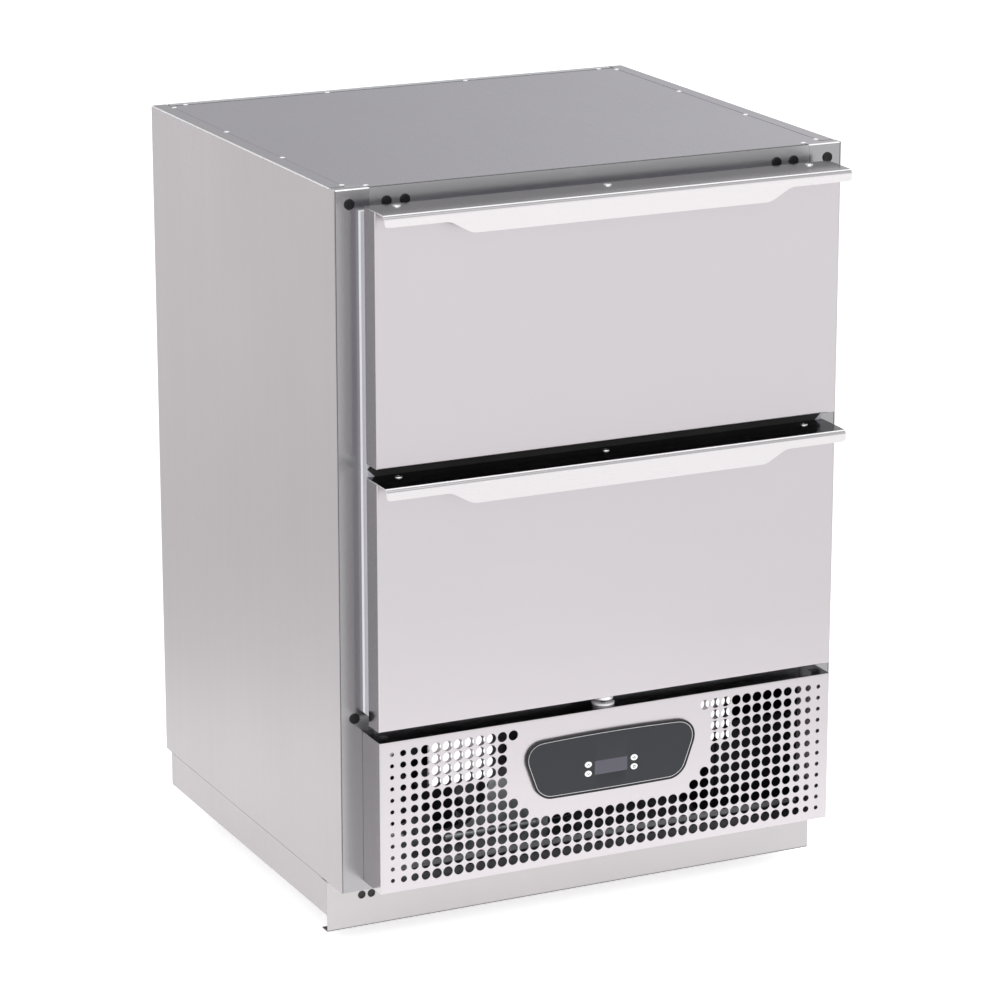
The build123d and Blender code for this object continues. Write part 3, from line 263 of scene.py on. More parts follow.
def upright(name, width, height, centre):
    """A flat sheet that faces the front."""
    return primitive(bpy.ops.mesh.primitive_plane_add, name, (width, height, 1), size=1, location=centre,
                     rotation=(pi / 2, 0, 0))


def strip(name, points, along):
    """A sheet drawn by its profile, point after point, and then pulled out."""
    piece = primitive(bpy.ops.mesh.primitive_plane_add, name, size=0.01, location=points[0])
    pick(piece, "VERT", everything)
    bpy.ops.mesh.merge(type="CENTER")
    for here, there in zip(points, points[1:]):
        pull(Vector(there) - Vector(here))
    bpy.ops.mesh.select_all(action="SELECT")
    pull(along)
    alone(piece)
    return piece


def round_bar(name, radius, depth, centre, axis="Z", vertices=32):
    """A cylinder whose middle is at a point, along an axis."""
    turn = {"Y": (pi / 2, 0, 0), "Z": (0, 0, 0)}[axis]
    return primitive(bpy.ops.mesh.primitive_cylinder_add, name, vertices=vertices, radius=radius, depth=depth,
                     location=centre, rotation=turn)


def copied(piece, change):
    """A second piece with its own mesh, changed by a matrix."""
    twin = piece.copy()
    twin.data = piece.data.copy()
    bpy.context.collection.objects.link(twin)
    twin.data.transform(change)
    return twin


def mirrored(piece, name):
    """A second piece, mirrored across the middle of the object."""
    twin = copied(piece, Matrix.Scale(-1, 4, (1, 0, 0)))
    twin.name = name
    twin.data.flip_normals()
    return twin


def copies(piece, places):
    """One mesh of copies of a piece, moved by each of the places. The piece itself goes."""
    return join(piece.name, [copied(piece, Matrix.Translation(place)) for place in places], piece)


def join(name, pieces, *spent):
    for piece in spent:
        bpy.data.objects.remove(piece)
    alone()
    for piece in pieces:
        piece.select_set(True)
    bpy.context.view_layer.objects.active = pieces[0]
    if len(pieces) > 1:
        bpy.ops.object.join()
    joined = bpy.context.object
    joined.name = name
    return joined


def both_sides(*insets):
    """Places along x at these distances from both side faces."""
    return [side * (HALF - inset) for inset in insets for side in (-1, 1)]


# Finishing

def paint(piece, finish, test=everything, least_area=0.0):
    """Adds a material and gives it to the faces that pass the test."""
    materials = piece.data.materials
    materials.append(bpy.data.materials[finish])
    for face in piece.data.polygons:
        if face.area >= least_area and test(face.center, face.normal):
            face.material_index = len(materials) - 1


def wear(piece, body, slot, finish, *nodes):
    """Gives a finished piece its body, its finish and the solids that it stands for."""
    alone(piece)
    if finish:
        piece.data.materials.clear()
        paint(piece, finish)
    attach(piece, body)
    if nodes:
        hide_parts(*nodes)


# Shaders

def node(tree, kind, inputs=None, **settings):
    made = tree.nodes.new(kind)
    for key, value in settings.items():
        setattr(made, key, value)
    for key, value in (inputs or {}).items():
        if isinstance(value, bpy.types.NodeSocket):
            tree.links.new(value, made.inputs[key])
        else:
            made.inputs[key].default_value = value
    return made


def number(tree, operation, first, second):
    return node(tree, "ShaderNodeMath", {0: first, 1: second}, operation=operation).outputs[0]


def noise(tree, place, scale, detail, roughness=0.5):
    return node(tree, "ShaderNodeTexNoise", {"Vector": place, "Scale": scale, "Detail": detail,
                                             "Roughness": roughness}).outputs["Fac"]


def ramp(tree, value, start, end, first, last, kind="SMOOTHSTEP"):
    """Maps one range of a value onto another."""
    inputs = {"Value": value, "From Min": start, "From Max": end, "To Min": first, "To Max": last}
    return node(tree, "ShaderNodeMapRange", inputs, interpolation_type=kind).outputs["Result"]


def surface_effect(name, pattern, texture, dull, bright, distance):
    """A shader group that varies a tint and a roughness over the surface, and adds a relief.

    The texture makes two patterns from the pattern input: clouds for tint and roughness, and the relief."""
    tree = bpy.data.node_groups.new(name, "ShaderNodeTree")
    inputs = (("Tint", "Color", (0.5, 0.5, 0.5, 1)), pattern, ("Roughness", "Float", 0.4),
              ("Depth", "Float", 0.1), ("Tone range", "Float", 0.1))
    for label, kind, value in inputs:
        socket = tree.interface.new_socket(name=label, in_out="INPUT", socket_type="NodeSocket" + kind)
        socket.default_value = value
    for label, kind in (("Color", "Color"), ("Roughness", "Float"), ("Normal", "Vector")):
        tree.interface.new_socket(name=label, in_out="OUTPUT", socket_type="NodeSocket" + kind)
    given = tree.nodes.new("NodeGroupInput").outputs
    out = tree.nodes.new("NodeGroupOutput").inputs
    clouds, relief = texture(tree, node(tree, "ShaderNodeTexCoord").outputs["Object"], given[pattern[0]])
    tone = number(tree, "MULTIPLY", number(tree, "SUBTRACT", clouds, 0.5), given["Tone range"])
    tint = node(tree, "ShaderNodeVectorMath", {0: given["Tint"], "Scale": number(tree, "ADD", tone, 1.0)},
                operation="SCALE")
    sheen = ramp(tree, clouds, 0.3, 0.7, dull, bright, "LINEAR")
    bump = node(tree, "ShaderNodeBump", {"Height": relief, "Strength": given["Depth"], "Distance": distance})
    tree.links.new(tint.outputs[0], out["Color"])
    tree.links.new(number(tree, "MULTIPLY", given["Roughness"], sheen), out["Roughness"])
    tree.links.new(bump.outputs["Normal"], out["Normal"])


def brushed_texture(tree, place, stretch):
    """Fine lines from the rolling and brushing of sheet, with broad soft clouds over them."""
    drawn = node(tree, "ShaderNodeVectorMath", {0: place, 1: stretch}, operation="MULTIPLY").outputs[0]
    both = number(tree, "ADD", noise(tree, drawn, 0.09, 3.0, 0.6), noise(tree, place, 5.0, 2.0))
    return number(tree, "MULTIPLY", both, 0.5), noise(tree, drawn, 1.0, 3.0, 0.6)


def moulded_texture(tree, place, grain):
    """The fine leathery skin of moulded plastic, rubber and paint, with uneven sheen."""
    return noise(tree, place, 14.0, 3.0), noise(tree, place, grain, 2.0)


def plain_material(name):
    """A material with an empty node tree."""
    made = bpy.data.materials.new(name)
    made.use_nodes = True
    made.node_tree.nodes.clear()
    return made, made.node_tree


def material(name, effect, tint, values, **shader_values):
    """A Principled material that takes its changing values from a shared effect."""
    made, tree = plain_material(name)
    skin = node(tree, "ShaderNodeGroup", node_tree=bpy.data.node_groups[effect])
    for key, value in {"Tint": (*tint, 1), **values}.items():
        skin.inputs[key].default_value = value
    links = {"Base Color": skin.outputs["Color"], "Roughness": skin.outputs["Roughness"],
             "Normal": skin.outputs["Normal"]}
    shader = node(tree, "ShaderNodeBsdfPrincipled", {**links, **shader_values})
    node(tree, "ShaderNodeOutputMaterial", {"Surface": shader.outputs[0]})
    made.diffuse_color = (*tint, 1)


def steel(name, tint, roughness, stretch, depth=0.12, tone=0.05):
    values = {"Stretch": stretch, "Roughness": roughness, "Depth": depth, "Tone range": tone}
    material(name, "Brushed sheet", tint, values, Metallic=1.0)


def moulded(name, tint, roughness, grain=900.0, depth=0.1, tone=0.1, **shader_values):
    values = {"Grain": grain, "Roughness": roughness, "Depth": depth, "Tone range": tone}
    material(name, "Moulded skin", tint, values, **shader_values)


def floor_finish(near, middle, far, glow):
    """A pale floor that glows a little (painted light), most near the object (a painted pool of light), with
    a soft darker ring round the object (painted shade).
    """
    tree = plain_material("Pale floor")[1]
    place = node(tree, "ShaderNodeTexCoord").outputs["Object"]
    reach = node(tree, "ShaderNodeVectorMath", {0: place}, operation="LENGTH").outputs["Value"]
    # The floor is darker in a ring about one and a half metres out: painted shade, seen in the object's
    # reflections.
    ring = ramp(tree, reach, 0.5, 1.6, near, middle)
    tone = number(tree, "ADD", ring, ramp(tree, reach, 1.6, 3.0, 0.0, far - middle))
    # It glows most within a metre of the object: a painted pool of light that lifts the contact shadow.
    light = ramp(tree, reach, 0.6, 1.1, glow, 0.62 * glow)
    shader = node(tree, "ShaderNodeBsdfPrincipled", {"Base Color": tone, "Roughness": 0.7,
                                                     "Emission Strength": 1.0, "Emission Color": light})
    node(tree, "ShaderNodeOutputMaterial", {"Surface": shader.outputs[0]})


# Sizes and colours that a user would change

def length(name, description, default):
    return bpy.props.FloatProperty(name=name, description=description, default=default, min=0.0, max=1.0,
                                   unit="LENGTH", precision=4)


def colour(name, description, default):
    return bpy.props.FloatVectorProperty(name=name, description=description, default=default, subtype="COLOR",
                                         size=3, min=0.0, max=1.0)


class FinishColours(bpy.types.PropertyGroup):
    # The side tint is set darker than the fronts' for the darker light on the sides: painted shade.
    side: colour("Side", "Tint of the outer side sheets", (0.372, 0.349, 0.358))
    front: colour("Front", "Tint of the drawer fronts and the grille", (0.53, 0.502, 0.518))
    top: colour("Top", "Tint of the top panel", (0.435, 0.42, 0.455))
    # The post tint is set darker for the dark reflections of the drawers beside them: painted shade.
    posts: colour("Posts", "Tint of the front posts", (0.32, 0.315, 0.325))
    # The plinth tint is set low to offset the floor's painted glow: painted shade.
    plinth: colour("Plinth", "Tint of the plinth's front plate", (0.45, 0.432, 0.434))
    handle: colour("Handle", "Tint of the handles' lips", (0.69, 0.665, 0.675))
    seal: colour("Seal", "Colour of the drawer seals' base", (0.86, 0.86, 0.89))
    panel: colour("Panel", "Colour of the control panel's field", (0.015, 0.016, 0.020))
    display: colour("Display", "Colour of the dark display", (0.038, 0.036, 0.056))
    button: colour("Button", "Colour of the buttons", (0.78, 0.78, 0.79))


class CabinetSizes(bpy.types.PropertyGroup):
    sheet: length("Sheet", "Thickness of the outer sheets", 1.0 * MM)
    side_flange: length("Side flange", "Width of the flange folded in along the top", 18.0 * MM)
    cap_depth: length("Cap depth", "How far the post's cap reaches back", 13.0 * MM)
    seam: length("Seam", "Open seam between the sheets of the top", 1.5 * MM)
    reveal: length("Reveal", "Open line between a front post and its side panel", 0.7 * MM)
    corner: length("Corner radius", "Outer radius of the folded corners", 1.8 * MM)
    plug_radius: length("Plug radius", "Radius of the hole plugs", 5.8 * MM)
    tack_radius: length("Tack radius", "Radius of the weld tacks", 3.0 * MM)
    tack_end: length("Tack end", "Distance of the last tacks from the ends of the seam", 23.0 * MM)


class DrawerSizes(bpy.types.PropertyGroup):
    sheet: length("Front sheet", "Thickness of the drawer fronts", 1.0 * MM)
    corner: length("Front corner", "Radius of the drawer front's corners", 1.6 * MM)
    handle_sheet: length("Handle sheet", "Thickness of the handle", 1.5 * MM)
    handle_flat: length("Handle flat", "Depth of the level part of the handle's top", 18.0 * MM)
    nose: length("Handle nose", "Radius of the handle's nose", 5.0 * MM)
    end_lip: length("End lip", "Depth of the lip at the handle's ends", 13.0 * MM)
    step_outer: length("Step start", "Distance from the middle where the lip begins to deepen", 200.0 * MM)
    step_inner: length("Step end", "Distance from the middle where the lip is at its full depth", 175.0 * MM)
    screw_radius: length("Screw head", "Radius of the handle's screw heads", 4.5 * MM)


class GrilleSizes(bpy.types.PropertyGroup):
    pitch: length("Hole pitch", "Distance between the holes of the grille", 13.0 * MM)
    hole: length("Hole radius", "Radius of the grille's holes", 5.65 * MM)
    margin: length("Margin", "Distance from the outer holes to the edge", 14.0 * MM)
    sheet: length("Sheet", "Thickness of the grille's sheet", 1.2 * MM)
    corner: length("Corner radius", "Outer radius of the grille's folds", 1.6 * MM)
    foot: length("Foot", "Depth of the flange under the grille", 44.0 * MM)


class PanelSizes(bpy.types.PropertyGroup):
    rim: length("Rim", "Width of the raised rim", 2.5 * MM)
    rim_height: length("Rim height", "How far the rim stands over the field", 0.4 * MM)
    line: length("Line", "Width of the pale line inside the rim", 0.6 * MM)
    top_width: length("Top width", "Width over the upper corners before rounding", 223.0 * MM)
    low_width: length("Low width", "Width over the lower corners before rounding", 175.0 * MM)
    crown: length("Crown", "Height of the bow in the top edge", 3.1 * MM)
    sag: length("Sag", "Depth of the bow in the low edge", 0.6 * MM)
    top_corner: length("Top corner", "Where the rounding of the upper corners begins", 30.0 * MM)
    low_corner: length("Low corner", "Where the rounding of the lower corners begins", 15.5 * MM)
    button_flange: length("Button flange", "Hidden flange round each button's cap", 1.2 * MM)


class StageSizes(bpy.types.PropertyGroup):
    floor: bpy.props.FloatProperty(name="Floor", description="Side of the floor", default=60.0, unit="LENGTH")
    sun: bpy.props.FloatProperty(name="Sun", description="Strength of the soft light from above", default=1.3)
    sky: bpy.props.FloatProperty(name="Sky", description="Strength of the surrounding light", default=1.0)


# Finishes

ALONG_X, ALONG_Y, ALONG_Z = (18, 900, 900), (900, 18, 900), (900, 900, 18)
SPANGLE, FINE_CAST, COARSE_CAST = (60, 60, 60), (400, 400, 400), (300, 300, 300)


class BARFRIDGE_OT_finishes(bpy.types.Operator):
    """Makes the materials of all the pieces and of the floor"""
    bl_idname = "barfridge.finishes"
    bl_label = "Finishes"

    def execute(self, context):
        tint = context.scene.barfridge_colours
        stretch, grain = ("Stretch", "Vector", (1, 1, 1)), ("Grain", "Float", 900.0)
        surface_effect("Brushed sheet", stretch, brushed_texture, 0.88, 1.14, 0.2 * MM)
        surface_effect("Moulded skin", grain, moulded_texture, 0.85, 1.15, 0.3 * MM)
        # The side, side face, post, rail and plinth steels below are the fronts' stainless, tinted darker or
        # given their own sheen for how the light falls on those faces: painted shade.
        steel("Side shade steel", tint.side, 0.30, ALONG_Z, 0.02, 0.02)
        steel("Front steel", tint.front, 0.32, ALONG_X, 0.03, 0.03)
        steel("Side face shading steel", (0.50, 0.478, 0.487), 0.14, ALONG_Z, 0.004, 0.03)
        steel("Top steel", tint.top, 0.27, ALONG_Y, 0.004, 0.04)
        steel("Post shade steel", tint.posts, 0.24, ALONG_Z, 0.004, 0.03)
        steel("Rail shade steel", (0.37, 0.365, 0.375), 0.3, ALONG_X, 0.01, 0.05)
        steel("Plinth shade steel", tint.plinth, 0.4, ALONG_X, 0.03, 0.04)
        steel("Handle steel", tint.handle, 0.28, ALONG_X, 0.02)
        # The handle's nose and top steels, and the near black shaded steel, are tinted dark for shade and
        # dark reflections: painted shade.
        steel("Handle nose shade steel", (0.42, 0.41, 0.415), 0.2, ALONG_X, 0.015)
        steel("Handle top shade steel", (0.25, 0.245, 0.25), 0.16, ALONG_X, 0.015)
        steel("Shaded steel", (0.10, 0.10, 0.103), 0.16, ALONG_X, 0.015)
        # The mirror steel also makes the bright band on the floor pan's lip: a painted highlight.
        steel("Mirror steel and painted highlight", (0.86, 0.855, 0.86), 0.05, ALONG_X, 0.0, 0.04)
        # The next two steels are near black for shade under the drawers, inside the grille's foot, along the
        # plinth's foot and in the seams: painted shade.
        steel("Pan shadow steel", (0.085, 0.085, 0.088), 0.3, ALONG_X, 0.04, 0.1)
        steel("Seam shadow steel", (0.20, 0.20, 0.205), 0.5, ALONG_Y)
        steel("Inner steel", (0.50, 0.50, 0.51), 0.30, ALONG_X)
        steel("Liner steel", (0.64, 0.64, 0.65), 0.36, ALONG_Z)
        steel("Galvanised steel", (0.60, 0.61, 0.63), 0.46, SPANGLE, 0.05, 0.25)
        steel("Zinc", (0.86, 0.86, 0.87), 0.22, COARSE_CAST, 0.05, 0.1)
        steel("Slide steel", (0.42, 0.425, 0.44), 0.28, ALONG_Y, 0.1, 0.1)
        steel("Dark steel", (0.10, 0.10, 0.105), 0.35, COARSE_CAST, 0.05, 0.1)
        steel("Fin aluminium", (0.78, 0.79, 0.80), 0.38, FINE_CAST, 0.08, 0.12)
        # The satin nickel also makes the thin light lines on the outer crests and on the handles' noses: a
        # painted highlight.
        moulded("Satin nickel and painted highlight", (0.90, 0.89, 0.90), 0.3, 400, 0.02, 0.04, Metallic=0.25)
        moulded("Compressor paint", (0.018, 0.018, 0.02), 0.32, 400, 0.12)
        moulded("Seal white", tint.seal, 0.55, 1200, 0.06, 0.04)
        moulded("Seal grey", (0.48, 0.47, 0.52), 0.50, 1200, 0.06, 0.05)
        moulded("Black plastic", (0.008, 0.008, 0.009), 0.34, **{"Specular IOR Level": 0.22})
        # The black rubber also fills the seal members between the drawers and the backs of the plinth's
        # holes: painted shade.
        moulded("Black rubber and painted shade", (0.02, 0.02, 0.02), 0.75, 700, 0.2)
        moulded("Grey plastic", (0.32, 0.33, 0.34), 0.48)
        moulded("Foam", (0.72, 0.62, 0.40), 0.85, 260, 0.5, 0.2)
        moulded("Panel charcoal", tint.panel, 0.42, 1600, 0.03, 0.03, **{"Specular IOR Level": 0.35})
        moulded("Panel black", (0.008, 0.008, 0.009), 0.34, 1600, 0.03, 0.03, **{"Specular IOR Level": 0.3})
        moulded("Panel line", (0.62, 0.62, 0.64), 0.4, 1600, 0.02, 0.02)
        moulded("Display", tint.display, 0.14, 1600, 0.0, 0.03, **{"Coat Weight": 0.5})
        moulded("Button white", tint.button, 0.38, 1600, 0.03, 0.03)
        moulded("Icon grey", (0.03, 0.03, 0.032), 0.5, 1600, 0.0, 0.02, **{"Specular IOR Level": 0.2})
        floor_finish(0.93, 0.68, 0.80, 0.62)
        return {"FINISHED"}


KEPT_FINISHES = {
    "Galvanised steel": ("back_panel", "base_panel", "condenser_shroud"),
    "Mirror steel and painted highlight": ("lower_rail",),
    # The middle rail is near black for the shade between the drawers: painted shade.
    "Pan shadow steel": ("middle_rail",),
    "Liner steel": ("inner_liner", "evaporator_cover"),
    "Foam": ("insulation_foam", "upper_drawer_foam", "lower_drawer_foam"),
    "Zinc": ("levelling_feet",),
    "Slide steel": ("cabinet_slides", "upper_drawer_slides", "lower_drawer_slides", "upper_middle_slides",
                    "lower_middle_slides"),
    "Inner steel": ("upper_drawer_box", "lower_drawer_box", "upper_drawer_back_pan", "lower_drawer_back_pan"),
    "Fin aluminium": ("evaporator_coil", "condenser"),
    "Grey plastic": ("drip_tray", "condensate_pan", "evaporator_fan_motor"),
    "Black plastic": ("electrical_box", "condenser_fan_motor", "controller", "cable_gland", "condenser_fan",
                      "evaporator_fan"),
    "Compressor paint": ("compressor",),
    "Black rubber and painted shade": ("compressor_mounts",),
    "Dark steel": ("refrigerant_lines",),
}


class BARFRIDGE_OT_kept_finishes(bpy.types.Operator):
    """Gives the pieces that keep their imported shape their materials"""
    bl_idname = "barfridge.kept_finishes"
    bl_label = "Inner finishes"

    def execute(self, context):
        for finish, names in KEPT_FINISHES.items():
            for name in names:
                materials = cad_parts[name].data.materials
                materials.clear()
                materials.append(bpy.data.materials[finish])
        return {"FINISHED"}


# Cabinet

FINE_EDGE = 0.25 * MM
SHEET_EDGE = 0.35 * MM
BORDER_EDGE = 0.2 * MM
TOP_EDGE = 0.45 * MM
TOP_SHADOW_STRIPS = (1.2 * MM, 3 * MM)
OUTER_HIGHLIGHT = 2 * MM
RAIL_SHADE_BAND = 0.7 * MM


class BARFRIDGE_OT_sides(bpy.types.Operator):
    """Builds the two outer side panels with their top flanges"""
    bl_idname = "barfridge.sides"
    bl_label = "Side panels"

    def execute(self, context):
        size = context.scene.barfridge_cabinet
        start = FRONT + size.cap_depth + size.seam
        profile = [(HALF, FRONT, BASE), (HALF, FRONT, TOP), (HALF - size.side_flange, FRONT, TOP)]
        panel = strip("side_panel_right_skin", profile, (0, BACK - FRONT, 0))
        cut(panel, (0, start, 0), (0, 1, 0))
        drop(panel, "FACE", lambda centre, normal: centre.y < start and abs(normal.z) > 0.9)
        fold(panel, lambda p, q: at(x=HALF, z=TOP)(p, q) and min(p.y, q.y) > start - MM, size.corner)
        thicken(panel, size.sheet, x=HALF)
        outward(panel)
        crisp(panel, SHEET_EDGE)
        twin = mirrored(panel, "side_panel_left_skin")
        # Each side sheet takes the side tint, darker than the fronts' (painted shade); its top flange takes
        # the top's tint by the way it faces (painted light); the crest gets a painted shade line on its inner
        # edge and a painted highlight on its outer edge.
        for skin, name in ((panel, "side_panel_right"), (twin, "side_panel_left")):
            wear(skin, "cabinet", "steel_outer", "Side shade steel", name)
            paint(skin, "Top steel", facing("+z", 0.95))
            paint(skin, "Shaded steel", on_crest)
            paint(skin, "Satin nickel and painted highlight", lambda centre, normal: on_crest(centre, normal)
                  and abs(centre.x) > HALF - OUTER_HIGHLIGHT)
        return {"FINISHED"}


class BARFRIDGE_OT_top(bpy.types.Operator):
    """Builds the top panel: a raised middle on a lower border"""
    bl_idname = "barfridge.top"
    bl_label = "Top panel"

    def execute(self, context):
        size = context.scene.barfridge_cabinet
        a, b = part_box("top_panel")
        half = HALF - size.side_flange - size.seam / 6
        rear = low("back_panel").y - size.seam
        step = b.z - size.sheet
        border = block("top_border", a, (b.x, b.y, step))
        crisp(border, BORDER_EDGE)
        paint(border, "Top steel")
        raised = block("top_raised", (-half, a.y, step - BORDER_EDGE), (half, rear, TOP))
        notch_x, notch_y = OPENING - size.seam, FRONT + size.cap_depth + size.seam
        for side in (-1, 1):
            carve(raised, block("notch", (side * notch_x, FRONT - MM, step - MM),
                                (side * (half + MM), notch_y, TOP + MM)))
        # Thin strips along the front and rear edges of the raised middle are painted near black: painted
        # shadow of the seams.
        front_line, rear_line = a.y + TOP_SHADOW_STRIPS[0], rear - TOP_SHADOW_STRIPS[1]
        for y in (front_line, rear_line):
            cut(raised, (0, y, 0), (0, 1, 0))
        outward(raised)
        crisp(raised, TOP_EDGE, 3)
        paint(raised, "Top steel")
        paint(raised, "Seam shadow steel", lambda centre, normal: not front_line <= centre.y <= rear_line)
        wear(join("top_panel_skin", [raised, border]), "cabinet", "steel_outer", None, "top_panel")
        return {"FINISHED"}


class BARFRIDGE_OT_front_frame(bpy.types.Operator):
    """Builds the front posts with their caps, and the top rail"""
    bl_idname = "barfridge.front_frame"
    bl_label = "Front frame"

    def execute(self, context):
        size = context.scene.barfridge_cabinet
        post_high = high("front_post_right")
        edge = post_high.x - size.reveal
        profile = [(OPENING, FRONT, BASE), (OPENING, FRONT, TOP), (OPENING, FRONT + size.cap_depth, TOP)]
        face = strip("post_face", profile, (edge - OPENING, 0, 0))
        fold(face, at(y=FRONT, z=TOP), size.corner)
        thicken(face, size.sheet, y=FRONT)
        outward(face)
        crisp(face, FINE_EDGE)
        inner = block("post_return", (OPENING, FRONT + size.sheet / 2, BASE),
                      (OPENING + size.sheet, post_high.y, TOP - 2 * size.sheet))
        crisp(inner, FINE_EDGE)
        # A hem turned back along the post's outer edge, in a near black steel: a real return, painted dark as
        # the shadow line between the post and the side panel.
        hem = block("post_hem", (edge - size.sheet, FRONT + 0.6 * size.sheet, BASE),
                    (post_high.x, FRONT + 0.95 * size.sheet, TOP - size.sheet))
        # The post face takes the darker post tint (painted shade), its cap the top's tint by the way it faces
        # (painted light), and its crest a painted highlight.
        paint(face, "Post shade steel")
        paint(face, "Top steel", facing("+z", 0.95))
        paint(face, "Satin nickel and painted highlight", on_crest)
        paint(inner, "Post shade steel")
        paint(hem, "Seam shadow steel")
        post = join("front_post_right_skin", [inner, face, hem])
        twin = mirrored(post, "front_post_left_skin")
        wear(post, "cabinet", "steel_outer", None, "front_post_right")
        wear(twin, "cabinet", "steel_outer", None, "front_post_left")
        a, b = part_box("top_rail")
        profile = [(-OPENING, b.y, a.z), (-OPENING, FRONT, a.z), (-OPENING, FRONT, TOP)]
        rail = strip("top_rail_skin", profile, (2 * OPENING, 0, 0))
        fold(rail, at(y=FRONT, z=a.z), size.corner)
        thicken(rail, size.sheet, y=FRONT)
        outward(rail)
        crisp(rail, SHEET_EDGE)
        # The rail takes a darker tint (painted shade), and a thin band along its top crest is painted near
        # black: a painted shade line.
        wear(rail, "cabinet", "steel_outer", "Rail shade steel", "top_rail")
        paint(rail, "Shaded steel", lambda centre, normal: centre.z > TOP - RAIL_SHADE_BAND)
        return {"FINISHED"}


SEAL_WIDTH = 12 * MM
SEAL_STEPS = ((0.30, 0.0), (0.02, -1.0), (0.04, 0.0), (0.04, 1.0), (0.22, 0.4), (0.16, -0.5), (0.18, 0.5),
              (0.04, -0.9))
SEAL_NECK = 0.36
SEAL_GAP = 0.1 * MM
SEAL_EDGE = 0.3 * MM


class BARFRIDGE_OT_seals(bpy.types.Operator):
    """Builds the two drawer seals: a pale base, a pinched neck and a soft grey bellows"""
    bl_idname = "barfridge.seals"
    bl_label = "Drawer seals"

    def execute(self, context):
        a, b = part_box("drawer_gaskets")
        height, depth = (b.z - a.z) / 2, b.y - a.y
        rings = [self.ring(b, z + height / 2, height, depth) for z in (a.z, a.z + height)]
        piece = join("drawer_seals", rings)
        outward(piece)
        crisp(piece, SEAL_EDGE, 2, 50)
        wear(piece, "cabinet", "seal", "Seal white", "drawer_gaskets")
        paint(piece, "Seal grey", lambda centre, normal: centre.y < b.y - depth * SEAL_NECK)
        # The members between the two drawers are painted black: painted shade in the gap between the drawers.
        paint(piece, "Black rubber and painted shade", lambda centre, normal: abs(centre.x) < b.x - SEAL_WIDTH
              and close_to(centre.z, a.z + height, SEAL_WIDTH + MM))
        return {"FINISHED"}

    @staticmethod
    def ring(b, z, height, depth):
        """One seal, pulled forward in steps: a share of the depth and a change of width in millimetres."""
        ring = upright("seal_ring", 2 * b.x, height - SEAL_GAP, (0, b.y, z))
        pick(ring, "FACE", everything)
        bpy.ops.mesh.inset(thickness=SEAL_WIDTH)
        bpy.ops.mesh.delete(type="FACE")
        alone(ring)
        total = sum(share for share, _ in SEAL_STEPS)
        for share, grow in SEAL_STEPS:
            front = min(vertex.co.y for vertex in ring.data.vertices)
            pick(ring, "FACE", lambda centre, normal: close_to(centre.y, front))
            pull((0, -depth * share / total, 0))
            if grow:
                bpy.ops.mesh.inset(thickness=abs(grow) * MM, use_boundary=True, use_outset=grow > 0)
            alone(ring)
        return ring


PLINTH_SHEET = 1.2 * MM
PLINTH_HOLES = (41 * MM, 52.5 * MM)
PLINTH_HOLE_DROP = 22 * MM
PLINTH_HOLE_RADIUS = 4.5 * MM
# Black discs behind the plinth's holes, for the dark inside them: painted shade.
HOLE_SHADE_RADIUS, HOLE_SHADE_THICK, HOLE_SHADE_DEEP = 6.5 * MM, 1.5 * MM, 2.1 * MM
SKIRT_CORNER = 2 * MM
LIP_HIGHLIGHT = (15.8 * MM, 17.2 * MM)
LIP_HEIGHT = 22 * MM
LIP_SHEET = 1.5 * MM
OVER = 0.05 * MM


